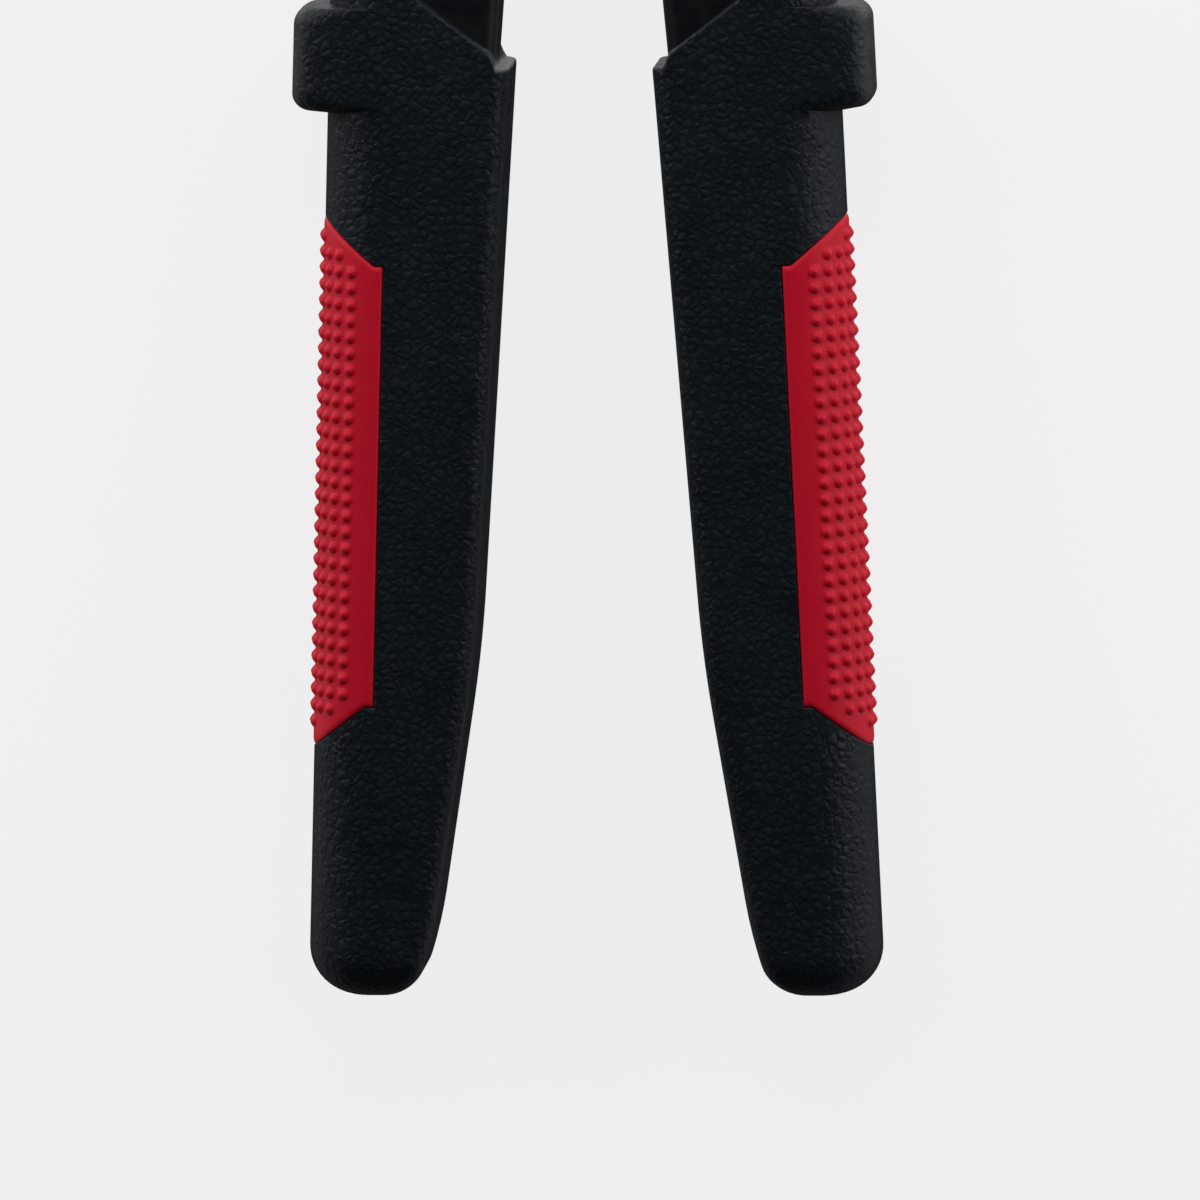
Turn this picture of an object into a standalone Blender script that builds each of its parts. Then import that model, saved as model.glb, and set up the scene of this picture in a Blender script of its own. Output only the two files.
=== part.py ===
"""Hoof nipper: two crossed steel arms on one pivot bolt, with moulded two-colour grips.

Metres, +Z up. The closed tool lies on its side, with its pivot axis upright, its jaws along +Y and its
grips along -Y. The origin lies under the middle of the tool, level with its lowest edge.

Each side is drawn once, about its own pivot: the grip at -X and -Y, the jaw at +X and +Y. The other side is
the same piece turned half round the long axis, as the two halves of a lap joint are.
"""

import math

import bmesh
import bpy
from mathutils import Vector
from mathutils.geometry import interpolate_bezier

MM = 0.001

# Overall sizes, from the pivot axis
HANDLE_REACH = 249 * MM
JAW_REACH = 51 * MM

# Gaps between pieces
CLEARANCE = 0.3 * MM
CLOSED_GAP = 0.3 * MM

# Lap joint
BOSS_RADIUS = 17 * MM
JOINT_THICKNESS = 15 * MM
BOSS_STEP = 0.9 * MM
REIN_ROOT_ANGLE = math.radians(207)
JAW_ROOT_ANGLE = math.radians(27)
THROAT_ROOT_ANGLE = math.radians(82)
JAW_ROOT_LEAN = math.radians(28)
THROAT_ROOT_LEAN = math.radians(50)
STOP_LENGTH = 9 * MM
STOP_LEAN = math.radians(16)

# Jaws
JAW_WIDTH = 30 * MM
HEAD_WIDTH = 53 * MM
THROAT_WIDTH = 19 * MM
HEAD_WIDEST = 30.5 * MM
THROAT_WIDEST = 29.5 * MM
EDGE_LAND = 0.5 * MM
OUTER_BEVEL_ANGLE = math.radians(4)
INNER_BEVEL_ANGLE = math.radians(42)
JAW_FLARE_START = 0.08
JAW_FLARE_END = 0.80
JAW_ROUNDING = 2.6 * MM
EDGE_ROUNDING = 0.2 * MM

# Reins and tangs
REIN_WIDTH = 15 * MM
REIN_THICKNESS = 11 * MM
REIN_ROUNDING = 2.2 * MM
REIN_MOUTH_LEAN = math.radians(5)
REIN_ROOT_LEAN = math.radians(7)
TANG_THICKNESS = 9 * MM
TANG_END_WIDTH = 9 * MM
TANG_SHORTFALL = 16 * MM

# Grip body: heights run from the grip's end, distances out from the tool's middle
GRIP_THICKNESS = 18 * MM
GRIP_MOUTH = 140.8 * MM
GRIP_MOUTH_STEP = 1.9 * MM
GRIP_TOP = 162 * MM
GRIP_BEND = 52 * MM
GRIP_BEND_BLEND = 9 * MM
GRIP_INNER_END = 25.4 * MM
GRIP_INNER_BEND = 17.05 * MM
GRIP_INNER_MOUTH = 10.65 * MM
GRIP_OUTER_END = 43.55 * MM
GRIP_OUTER_TOP = 37.5 * MM
GRIP_SIDE_ROUND = 9.6 * MM
GRIP_EDGE_ROUND = 3 * MM
GRIP_END_ROUND = 7.6 * MM
GRIP_END_CROWN = 6 * MM
GRIP_INNER_WALL = 2.3 * MM
GRIP_TOP_ROUND = 5 * MM

# Finger guard
GUARD_LOW = 133.6 * MM
GUARD_HEIGHT = 16.75 * MM
GUARD_REACH = 5.1 * MM
GUARD_LOW_ROUND = 2.2 * MM
GUARD_TOP_ROUND = 3.6 * MM
GUARD_SLANT = math.tan(math.radians(5))
GUARD_DIP = 1.5 * MM
GUARD_SQUARENESS = 0.45

# Soft inlay on the grip's outer side
INLAY_LOW = 44.7 * MM
INLAY_HIGH = 111.2 * MM
INLAY_TIP = 6.8 * MM
INLAY_DEPTH = 2.4 * MM
INLAY_PROUD = 0.15 * MM
INLAY_TIP_START = math.radians(8)
STUD_PITCH = 2.45 * MM
STUD_COLUMNS = 9
STUD_HEIGHT = 0.65 * MM
STUD_SHOULDER = 0.45 * MM

# Pivot hardware
BOLT_RADIUS = 5.5 * MM
BOLT_HEAD_RADIUS = 9 * MM
BOLT_HEAD_HEIGHT = 4.4 * MM
BOLT_HEAD_CROWN = 1.6 * MM
SOCKET_FLATS = 6 * MM
SOCKET_DEPTH = 3 * MM
WASHER_RADIUS = 11 * MM
WASHER_THICKNESS = 1.2 * MM
NUT_FLATS = 16 * MM
NUT_HEIGHT = 4.4 * MM
NUT_CHAMFER = 0.8 * MM

# Facets
ROUND_FACETS = 64
BOLT_FACETS = 32
SIDE_FACETS = 16
CORNER_FACETS = 4
CROWN_FACETS = 5
CURVE_STEPS = 8
CURVE_EASE = 0.42
FILLET_SHARE = 0.48
FAR = 0.5
MERGE = 1e-7
SHARP_ANGLE = math.radians(35)

JAW_HALF = JAW_WIDTH / 2
JOINT_HALF = JOINT_THICKNESS / 2
GRIP_HALF = GRIP_THICKNESS / 2
PIVOT = Vector((0, (HANDLE_REACH - JAW_REACH) / 2, JAW_HALF))


def smooth_step(value):
    """0 below 0, 1 above 1, and a soft rise between."""
    value = min(1, max(0, value))
    return value * value * (3 - 2 * value)


def mix(start, end, share):
    return start + (end - start) * share


def on_circle(radius, angle):
    return Vector((radius * math.cos(angle), radius * math.sin(angle)))


def heading(angle):
    """A direction of the plan, by its lean from +Y towards +X."""
    return Vector((math.sin(angle), math.cos(angle)))


def curve(start, leaving, arriving, end):
    """Points along a smooth curve with set directions at its ends, without its last point."""
    reach = (end - start).length * CURVE_EASE
    handles = (start + leaving * reach, end - arriving * reach)
    return [Vector(point) for point in interpolate_bezier(start, *handles, end, CURVE_STEPS + 1)][:-1]


def rounded_corner(before, corner, after, radius):
    """Points of the arc that rounds one corner of an outline."""
    back, on = (before - corner).normalized(), (after - corner).normalized()
    half = back.angle(on) / 2
    centre = corner + (back + on).normalized() * radius / math.sin(half)
    start, end = (corner + way * radius / math.tan(half) - centre for way in (back, on))
    sweep = math.pi - 2 * half
    turns = [sweep * step / CURVE_STEPS for step in range(CURVE_STEPS + 1)]
    spokes = [start * math.sin(sweep - turn) + end * math.sin(turn) for turn in turns]
    return [centre + spoke / math.sin(sweep) for spoke in spokes]


# Mesh helpers


def mesh_from(shape, name):
    mesh = bpy.data.meshes.new(name)
    shape.to_mesh(mesh)
    shape.free()
    return mesh


def skin(rings, name, closed=False):
    """A mesh over matching rings of points, capped at both ends unless the last ring meets the first."""
    shape = bmesh.new()
    rows = [[shape.verts.new(point) for point in ring] for ring in rings]
    pairs = list(zip(rows, rows[1:]))
    if closed:
        pairs.append((rows[-1], rows[0]))
    else:
        shape.faces.new(rows[0])
        shape.faces.new(rows[-1])
    for low, high in pairs:
        for i, corner in enumerate(low):
            j = (i + 1) % len(low)
            shape.faces.new((corner, low[j], high[j], high[i]))
    bmesh.ops.remove_doubles(shape, verts=shape.verts, dist=MERGE)
    bmesh.ops.recalc_face_normals(shape, faces=shape.faces)
    return mesh_from(shape, name)


def turned(profile, facets, name, closed=False):
    """A mesh turned about the Z axis from (radius, height) pairs."""
    turns = [2 * math.pi * i / facets for i in range(facets)]
    rings = [[Vector((*on_circle(radius, turn), height)) for turn in turns] for radius, height in profile]
    return skin(rings, name, closed)


def combine(mesh, other, operation):
    """The Boolean of two meshes as a new mesh."""
    base, tool = (bpy.data.objects.new(name, data) for name, data in (("base", mesh), ("tool", other)))
    for obj in (base, tool):
        bpy.context.scene.collection.objects.link(obj)
    modifier = base.modifiers.new("combine", "BOOLEAN")
    modifier.operation = operation
    modifier.object = tool
    graph = bpy.context.evaluated_depsgraph_get()
    made = bpy.data.meshes.new_from_object(base.evaluated_get(graph))
    made.name = mesh.name
    for obj in (base, tool):
        bpy.data.objects.remove(obj)
    return made


def joined(*meshes):
    whole = meshes[0]
    for mesh in meshes[1:]:
        whole = combine(whole, mesh, "UNION")
    return whole


def cut(mesh, *cutters):
    for cutter in cutters:
        mesh = combine(mesh, cutter, "DIFFERENCE")
    return mesh


# Steel arm


def bar_section(inner, outer, half_height, rounding, grow=0.0):
    """A rounded rectangle across the bar between two points of its plan, larger by grow all round."""
    along = (outer - inner).normalized()
    start, end = -grow, (outer - inner).length + grow
    top = half_height + grow
    rounding = min(rounding + grow, FILLET_SHARE * (end - start), 2 * FILLET_SHARE * top)
    centres = ((end - rounding, top - rounding), (start + rounding, top - rounding))
    centres += tuple((across, -up) for across, up in reversed(centres))
    ring = []
    for quarter, (across, up) in enumerate(centres):
        for step in range(CORNER_FACETS + 1):
            angle = (quarter + step / CORNER_FACETS) * math.pi / 2
            point = inner + along * (across + rounding * math.cos(angle))
            ring.append(Vector((point.x, point.y, up + rounding * math.sin(angle))))
    return ring


def handle_point(out, height):
    """A point of the plan by its distance out from the tool's middle and its height above the grip's end."""
    return Vector((-out, height - HANDLE_REACH))


def tang_sections(grow=0.0):
    """Sections of the tang, from its end inside the grip up to the grip's mouth."""
    sections = []
    for step in range(CURVE_STEPS + 1):
        share = step / CURVE_STEPS
        height = mix(TANG_SHORTFALL - grow, GRIP_MOUTH, share)
        inner = grip_inner(height) + GRIP_INNER_WALL
        outer = inner + mix(TANG_END_WIDTH, REIN_WIDTH, math.sqrt(share))
        half = mix(TANG_THICKNESS, REIN_THICKNESS, share) / 2
        ends = (handle_point(inner, height), handle_point(outer, height))
        sections.append(bar_section(*ends, half, REIN_ROUNDING, grow))
    return sections


def rein_sections(grow=0.0):
    """Sections of the rein, from just above the grip's mouth up into the boss."""
    inner_foot = handle_point(grip_inner(GRIP_MOUTH) + GRIP_INNER_WALL, GRIP_MOUTH)
    outer_foot = inner_foot - Vector((REIN_WIDTH, 0))
    stop_foot = Vector((-CLOSED_GAP / 2, -BOSS_RADIUS - STOP_LENGTH))
    stop_head = Vector((-CLOSED_GAP / 2, -BOSS_RADIUS))
    boss_head = Vector((-CLOSED_GAP / 2, -BOSS_RADIUS / 2))
    outer_head = on_circle(BOSS_RADIUS, REIN_ROOT_ANGLE)
    leaving = heading(REIN_MOUTH_LEAN)
    inner = curve(inner_foot, leaving, heading(STOP_LEAN), stop_foot)
    outer_neck = outer_head - heading(REIN_ROOT_LEAN) * STOP_LENGTH
    outer = curve(outer_foot, leaving, heading(REIN_ROOT_LEAN), outer_neck)
    inner += [stop_foot, stop_head, boss_head]
    outer += [outer_neck, outer_head, outer_head / 2]
    sections = []
    for i, (inside, outside) in enumerate(zip(inner, outer)):
        half = mix(REIN_THICKNESS / 2, JOINT_HALF - BOSS_STEP, smooth_step(i / CURVE_STEPS))
        sections.append(bar_section(inside, outside, half, REIN_ROUNDING, grow))
    return sections[1:]


def jaw_sections():
    """Sections of the jaw, from inside the boss round to the cutting edge."""
    edge = Vector((CLOSED_GAP / 2, JAW_REACH))
    land = edge - Vector((0, EDGE_LAND))
    outer_root = on_circle(BOSS_RADIUS, JAW_ROOT_ANGLE)
    inner_root = on_circle(BOSS_RADIUS, THROAT_ROOT_ANGLE)
    outer_side = Vector((HEAD_WIDTH / 2, HEAD_WIDEST))
    inner_side = Vector((THROAT_WIDTH / 2, THROAT_WIDEST))
    up = heading(0)
    outer = curve(outer_root, heading(JAW_ROOT_LEAN), up, outer_side)
    outer += curve(outer_side, up, heading(-math.pi / 2 + OUTER_BEVEL_ANGLE), edge)
    inner = curve(inner_root, heading(THROAT_ROOT_LEAN), up, inner_side)
    inner += curve(inner_side, up, heading(-math.pi / 2 + INNER_BEVEL_ANGLE), land)
    sections = [bar_section(inner_root / 2, outer_root / 2, JOINT_HALF - BOSS_STEP, JAW_ROUNDING)]
    for i, (inside, outside) in enumerate(zip(inner + [land], outer + [edge])):
        along = i / (2 * CURVE_STEPS)
        flare = smooth_step((along - JAW_FLARE_START) / (JAW_FLARE_END - JAW_FLARE_START))
        half = mix(JOINT_HALF - BOSS_STEP, JAW_HALF, flare)
        rounding = mix(JAW_ROUNDING, EDGE_ROUNDING, smooth_step(2 * along - 1))
        sections.append(bar_section(inside, outside, half, rounding))
    return sections


def arm_mesh():
    """One steel arm: tang, rein, lower half of the lap joint, and jaw."""
    face = -CLEARANCE / 2
    limbs = joined(skin(tang_sections() + rein_sections(), "arm"), skin(jaw_sections(), "jaw"))
    boss = turned(((BOSS_RADIUS, -JOINT_HALF), (BOSS_RADIUS, face)), ROUND_FACETS, "boss")
    seat_radius = BOSS_RADIUS + CLEARANCE
    seat = turned(((seat_radius, face), (seat_radius, FAR)), ROUND_FACETS, "seat")
    bore_radius = BOLT_RADIUS + CLEARANCE
    bore = turned(((bore_radius, -FAR), (bore_radius, FAR)), BOLT_FACETS, "bore")
    return cut(joined(cut(limbs, seat), boss), bore)


# Grip


def grip_inner(height):
    """Distance from the tool's middle to the grip's inner edge, with a soft bend above its end."""
    low_slope = (GRIP_INNER_BEND - GRIP_INNER_END) / GRIP_BEND
    high_slope = (GRIP_INNER_MOUTH - GRIP_INNER_BEND) / (GRIP_MOUTH - GRIP_BEND)
    past = height - GRIP_BEND
    if past <= -GRIP_BEND_BLEND:
        turn = 0
    elif past >= GRIP_BEND_BLEND:
        turn = past
    else:
        turn = (past + GRIP_BEND_BLEND) ** 2 / (4 * GRIP_BEND_BLEND)
    return GRIP_INNER_END + low_slope * height + (high_slope - low_slope) * turn


def grip_outer(height):
    return mix(GRIP_OUTER_END, GRIP_OUTER_TOP, height / GRIP_TOP)


def side_point(height, angle, lift=0.0):
    """A point of the grip's rounded outer side, lift above its surface. Angle 0 is where the front face ends,
    a straight angle where the back face starts; past either, the point lies on that face."""
    on_side = min(math.pi, max(0, angle))
    normal = Vector((math.sin(on_side) * GRIP_HALF, math.cos(on_side) * GRIP_SIDE_ROUND)).normalized()
    out = grip_outer(height) - GRIP_SIDE_ROUND * (1 - math.sin(on_side)) + normal.x * lift
    out -= abs(angle - on_side) * GRIP_SIDE_ROUND
    plan = handle_point(out, height)
    return Vector((plan.x, plan.y, GRIP_HALF * math.cos(on_side) + normal.y * lift))


def grip_section(height, guard=0.0, slant=0.0, dip=0.0):
    """One ring of the grip: its outer side, drawn out by a share of the guard's square form, then its two
    inner edges. The ring rises by slant along the guard's reach, and by dip towards the flat faces."""
    inset = GRIP_END_ROUND - math.sqrt(GRIP_END_ROUND**2 - max(0, GRIP_END_ROUND - height) ** 2)
    crown = GRIP_END_CROWN - math.sqrt(GRIP_END_CROWN**2 - max(0, GRIP_END_CROWN - height) ** 2)
    inner, outer = grip_inner(height) + inset, grip_outer(height) - inset
    half = GRIP_HALF - crown
    shrink = (outer - inner) / (grip_outer(height) - grip_inner(height))
    side = GRIP_SIDE_ROUND * shrink
    edge = min(GRIP_EDGE_ROUND * shrink, 2 * FILLET_SHARE * half)
    ring = []
    for step in range(SIDE_FACETS + 1):
        angle = math.pi * step / SIDE_FACETS
        sine, cosine = max(0, math.sin(angle)), math.cos(angle)
        reach = guard * ((side + GUARD_REACH) * sine**GUARD_SQUARENESS - side * sine)
        level = half * math.copysign(mix(abs(cosine), abs(cosine) ** GUARD_SQUARENESS, guard), cosine)
        plan = handle_point(outer - side * (1 - sine) + reach, height + slant * reach + dip * (1 - sine))
        ring.append(Vector((plan.x, plan.y, level)))
    for quarter, up in ((2, -1), (3, 1)):
        for step in range(CORNER_FACETS + 1):
            angle = (1 - quarter - step / CORNER_FACETS) * math.pi / 2
            plan = handle_point(inner + edge + edge * math.cos(angle), height)
            ring.append(Vector((plan.x, plan.y, up * (half - edge) + edge * math.sin(angle))))
    return ring


def grip_sections():
    """Rings of the grip from its end up past its mouth, with the finger guard's rounded block between."""
    rings = []
    for step in range(CORNER_FACETS + 2):
        rings.append(grip_section(GRIP_END_ROUND * (1 - math.cos(step / (CORNER_FACETS + 1) * math.pi / 2))))
    for step in range(-2, 3):
        rings.append(grip_section(GRIP_BEND + GRIP_BEND_BLEND * step / 2))
    guard_top = GUARD_LOW + GUARD_HEIGHT
    quarter = [step / CORNER_FACETS * math.pi / 2 for step in range(CORNER_FACETS + 1)]
    rings.append(grip_section(GUARD_LOW, dip=GUARD_DIP))
    for angle in quarter:
        share = 1 - GUARD_LOW_ROUND / GUARD_REACH * (1 - math.sin(angle))
        height = GUARD_LOW + GUARD_LOW_ROUND * (1 - math.cos(angle))
        rings.append(grip_section(height, share, GUARD_SLANT, GUARD_DIP))
    for angle in quarter:
        share = 1 - GUARD_TOP_ROUND / GUARD_REACH * (1 - math.cos(angle))
        rings.append(grip_section(guard_top - GUARD_TOP_ROUND * (1 - math.sin(angle)), share))
    rings.append(grip_section(guard_top))
    rings.append(grip_section(GRIP_TOP + GRIP_THICKNESS))
    return rings


def mouth_cutter():
    """The space above the grip's mouth: level over its inner wall, then a step, then rising to its top."""
    ledge = handle_point(grip_inner(GRIP_MOUTH) + GRIP_INNER_WALL, GRIP_MOUTH)
    foot = ledge + Vector((0, GRIP_MOUTH_STEP))
    top = handle_point(grip_outer(GRIP_TOP) + CLEARANCE, GRIP_TOP)
    below = handle_point(grip_outer(0) + CLEARANCE, 0)
    outline = [handle_point(-FAR, GRIP_MOUTH), ledge, foot, *rounded_corner(foot, top, below, GRIP_TOP_ROUND)]
    outline += [outline[-1] - Vector((GRIP_THICKNESS, 0)), handle_point(FAR, FAR), handle_point(-FAR, FAR)]
    rings = [[Vector((*point, level)) for point in outline] for level in (-FAR, FAR)]
    return skin(rings, "mouth")


def inlay_limits(angle):
    """Heights between which the inlay runs at one place round the grip's side: it comes to a blunt tip."""
    from_face = min(angle, math.pi - angle)
    share = max(0, from_face - INLAY_TIP_START) / (math.pi / 2 - INLAY_TIP_START)
    tip = INLAY_TIP * math.sin(share * math.pi / 2)
    return INLAY_LOW - tip, INLAY_HIGH + tip


def inlay_angles():
    """Places round the grip's side at which the inlay has an edge: two plain bands with the studs between."""
    stud = 2 * STUD_PITCH / (GRIP_SIDE_ROUND + GRIP_HALF)
    first = (math.pi - stud * STUD_COLUMNS) / 2
    band = [0, first / 2]
    studs = [first + stud * i for i in range(STUD_COLUMNS + 1)]
    return band + studs + [math.pi - angle for angle in reversed(band)]


def inlay_block(heights, floor, surface, grow=0.0):
    """A closed block over the inlay's outline, between two lifts from the grip's surface, with an edge at
    each of the heights that the outline leaves room for. Also the outer faces that are left whole."""
    angles = inlay_angles()
    angles[0] -= grow / GRIP_SIDE_ROUND
    angles[-1] += grow / GRIP_SIDE_ROUND
    shape = bmesh.new()
    outer, inner, whole = [], [], []
    for angle in angles:
        low, high = inlay_limits(angle)
        low, high = low - grow, high + grow
        kept = [min(high, max(low, height)) for height in heights]
        outer.append([shape.verts.new(side_point(height, angle, surface)) for height in kept])
        inner.append([shape.verts.new(side_point(height, angle, floor)) for height in (low, high)])
        whole.append([low <= height <= high for height in heights])
    fields = {}
    for i in range(len(angles) - 1):
        for j in range(len(heights) - 1):
            face = shape.faces.new((outer[i][j], outer[i + 1][j], outer[i + 1][j + 1], outer[i][j + 1]))
            if all(whole[column][row] for column in (i, i + 1) for row in (j, j + 1)):
                fields[i, j] = face
        shape.faces.new((inner[i][1], inner[i + 1][1], inner[i + 1][0], inner[i][0]))
        for level in (0, -1):
            shape.faces.new((inner[i][level], inner[i + 1][level], outer[i + 1][level]))
            shape.faces.new((inner[i][level], outer[i + 1][level], outer[i][level]))
    for column in (0, -1):
        shape.faces.new([inner[column][0], *outer[column], inner[column][1]])
    bmesh.ops.recalc_face_normals(shape, faces=shape.faces)
    return shape, fields


def closed_mesh(shape, name):
    """A block's mesh, with the points that its outline drew together merged."""
    bmesh.ops.remove_doubles(shape, verts=shape.verts, dist=MERGE)
    bmesh.ops.recalc_face_normals(shape, faces=shape.faces)
    return mesh_from(shape, name)


def inlay_pocket():
    """The recess that holds the inlay, clear of it all round and open outwards."""
    floor, opening = -INLAY_DEPTH - CLEARANCE, INLAY_PROUD + CLEARANCE
    shape, _ = inlay_block((-FAR, FAR), floor, opening, CLEARANCE)
    return closed_mesh(shape, "pocket")


def grip_mesh():
    """The black moulding, hollow for the tang and recessed for the inlay."""
    socket = skin(tang_sections(CLEARANCE) + rein_sections(CLEARANCE), "socket")
    return cut(skin(grip_sections(), "grip"), mouth_cutter(), socket, inlay_pocket())


def inlay_mesh():
    """The red moulding: a shell over the grip's side with a field of low rounded studs."""
    lowest, highest = INLAY_LOW - INLAY_TIP, INLAY_HIGH + INLAY_TIP
    rows = math.ceil((highest - lowest) / STUD_PITCH)
    heights = [lowest + STUD_PITCH * row for row in range(rows + 1)]
    shape, fields = inlay_block(heights, -INLAY_DEPTH, INLAY_PROUD)
    bands = len(inlay_angles()) - 1 - STUD_COLUMNS
    columns = range(bands // 2, bands // 2 + STUD_COLUMNS)
    studs = [face for (column, row), face in fields.items() if column in columns]
    bmesh.ops.inset_individual(shape, faces=studs, thickness=STUD_SHOULDER, depth=STUD_SHOULDER)
    bmesh.ops.poke(shape, faces=studs, offset=STUD_HEIGHT - STUD_SHOULDER, center_mode="MEAN")
    return closed_mesh(shape, "inlay")


# Pivot hardware


def bolt_mesh():
    """The pivot bolt: a low crowned head with a hexagon socket, over a plain shank."""
    seat = JOINT_HALF + 2 * CLEARANCE + WASHER_THICKNESS
    top = seat + BOLT_HEAD_HEIGHT
    foot = -(seat + NUT_HEIGHT + CLEARANCE)
    profile = [(BOLT_RADIUS - NUT_CHAMFER, foot), (BOLT_RADIUS, foot + NUT_CHAMFER), (BOLT_RADIUS, seat)]
    profile.append((BOLT_HEAD_RADIUS, seat))
    for step in range(CROWN_FACETS + 1):
        angle = math.pi / 2 * step / (CROWN_FACETS + 1)
        profile.append((BOLT_HEAD_RADIUS * math.cos(angle), top - BOLT_HEAD_CROWN * (1 - math.sin(angle))))
    bolt = turned(profile, BOLT_FACETS, "bolt")
    corner = SOCKET_FLATS / math.sqrt(3)
    return cut(bolt, turned(((corner, top - SOCKET_DEPTH), (corner, FAR)), 6, "socket"))


def nut_mesh():
    """The thin lock nut under the joint, its hexagon chamfered at both ends."""
    top = -(JOINT_HALF + 2 * CLEARANCE + WASHER_THICKNESS)
    foot = top - NUT_HEIGHT
    corner = NUT_FLATS / math.sqrt(3)
    bore = BOLT_RADIUS + CLEARANCE
    hexagon = turned(((corner, foot), (corner, top)), 6, "nut")
    flat = NUT_FLATS / 2
    outside = ((flat, foot), (flat + NUT_CHAMFER * 2, foot + NUT_CHAMFER))
    outside += tuple((radius, foot + top - height) for radius, height in reversed(outside))
    chamfers = turned(outside, BOLT_FACETS, "chamfers")
    hole = turned(((bore, -FAR), (bore, FAR)), BOLT_FACETS, "hole")
    return cut(combine(hexagon, chamfers, "INTERSECT"), hole)


def washer_mesh():
    low = JOINT_HALF + CLEARANCE
    high = low + WASHER_THICKNESS
    bore = BOLT_RADIUS + CLEARANCE
    profile = ((bore, low), (WASHER_RADIUS, low), (WASHER_RADIUS, high), (bore, high))
    return turned(profile, BOLT_FACETS, "washer", closed=True)


# Scene


def material(name, colour, roughness, metallic):
    made = bpy.data.materials.new(name)
    made.use_nodes = True
    shader = made.node_tree.nodes["Principled BSDF"]
    shader.inputs["Base Color"].default_value = (*colour, 1)
    shader.inputs["Roughness"].default_value = roughness
    shader.inputs["Metallic"].default_value = metallic
    return made


def side_empty(name, half_turn):
    """The carrier of one side of the tool, on the pivot axis."""
    empty = bpy.data.objects.new(name, None)
    empty.location = PIVOT
    empty.rotation_euler = (0, math.pi if half_turn else 0, 0)
    bpy.context.scene.collection.objects.link(empty)
    return empty


def place(name, mesh, parent, finish, half_turn=False):
    """A named piece on its carrier, shaded smooth up to its sharp edges."""
    obj = bpy.data.objects.new(name, mesh)
    obj.parent = parent
    obj.rotation_euler = (0, math.pi if half_turn else 0, 0)
    if not mesh.materials:
        mesh.materials.append(finish)
    mesh.shade_smooth()
    mesh.set_sharp_from_angle(angle=SHARP_ANGLE)
    bpy.context.scene.collection.objects.link(obj)
    return obj


def main():
    for obj in list(bpy.data.objects):
        bpy.data.objects.remove(obj)
    steel = material("black_steel", (0.012, 0.013, 0.014), 0.38, 0.9)
    bright = material("bright_steel", (0.42, 0.42, 0.43), 0.3, 1.0)
    black = material("black_moulding", (0.008, 0.010, 0.012), 0.55, 0.0)
    red = material("red_moulding", (0.34, 0.008, 0.018), 0.5, 0.0)

    arm, grip, inlay, washer = arm_mesh(), grip_mesh(), inlay_mesh(), washer_mesh()
    sides = {"left": side_empty("left_side", False), "right": side_empty("right_side", True)}
    for side, carrier in sides.items():
        place(f"{side}_arm", arm, carrier, steel)
        place(f"{side}_grip", grip, carrier, black)
        place(f"{side}_grip_inlay", inlay, carrier, red)
    place("pivot_bolt", bolt_mesh(), sides["left"], bright)
    place("pivot_nut", nut_mesh(), sides["left"], bright)
    place("top_washer", washer, sides["left"], bright)
    place("bottom_washer", washer, sides["left"], bright, half_turn=True)


main()
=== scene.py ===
"""Hoof nipper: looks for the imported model.

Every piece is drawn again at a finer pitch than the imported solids, from the same sizes but for a few finer
forms, and given a worked material. Each side is drawn once about its own pivot (the grip at -X and -Y, the
jaw at +X and +Y), and set down twice: as it is for the left side, and turned half round the long axis for
the right.
"""

import math

import bmesh
import bpy
from mathutils import Matrix, Vector
from mathutils.geometry import interpolate_bezier


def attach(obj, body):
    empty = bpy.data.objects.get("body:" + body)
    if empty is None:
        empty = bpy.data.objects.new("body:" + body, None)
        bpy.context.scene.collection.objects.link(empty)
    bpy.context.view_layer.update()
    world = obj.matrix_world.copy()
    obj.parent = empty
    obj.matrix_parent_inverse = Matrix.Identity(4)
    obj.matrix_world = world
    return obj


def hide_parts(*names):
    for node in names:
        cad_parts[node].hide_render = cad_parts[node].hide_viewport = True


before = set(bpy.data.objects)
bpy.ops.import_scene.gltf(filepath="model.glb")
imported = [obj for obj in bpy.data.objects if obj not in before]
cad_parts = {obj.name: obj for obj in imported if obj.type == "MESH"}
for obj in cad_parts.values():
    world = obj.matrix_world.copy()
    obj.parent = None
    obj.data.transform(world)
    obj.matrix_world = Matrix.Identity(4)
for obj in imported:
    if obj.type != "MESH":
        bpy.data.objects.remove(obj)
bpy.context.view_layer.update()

MM = 0.001

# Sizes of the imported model
HANDLE_REACH = 249 * MM
JAW_REACH = 51 * MM
CLEARANCE = 0.3 * MM
CLOSED_GAP = 0.3 * MM
BOSS_RADIUS = 17 * MM
JOINT_THICKNESS = 15 * MM
BOSS_STEP = 0.9 * MM
REIN_ROOT_ANGLE = math.radians(207)
JAW_ROOT_ANGLE = math.radians(27)
THROAT_ROOT_ANGLE = math.radians(82)
JAW_ROOT_LEAN = math.radians(28)
THROAT_ROOT_LEAN = math.radians(50)
STOP_LENGTH = 9 * MM
STOP_LEAN = math.radians(16)
JAW_WIDTH = 30 * MM
HEAD_WIDTH = 53 * MM
THROAT_WIDTH = 19 * MM
HEAD_WIDEST = 30.5 * MM
THROAT_WIDEST = 29.5 * MM
EDGE_LAND = 0.5 * MM
OUTER_BEVEL_ANGLE = math.radians(4)
INNER_BEVEL_ANGLE = math.radians(42)
JAW_FLARE_START = 0.08
JAW_FLARE_END = 0.80
JAW_ROUNDING = 2.6 * MM
EDGE_ROUNDING = 0.2 * MM
REIN_WIDTH = 15 * MM
REIN_THICKNESS = 11 * MM
REIN_ROUNDING = 2.2 * MM
REIN_MOUTH_LEAN = math.radians(5)
REIN_ROOT_LEAN = math.radians(7)
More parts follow.
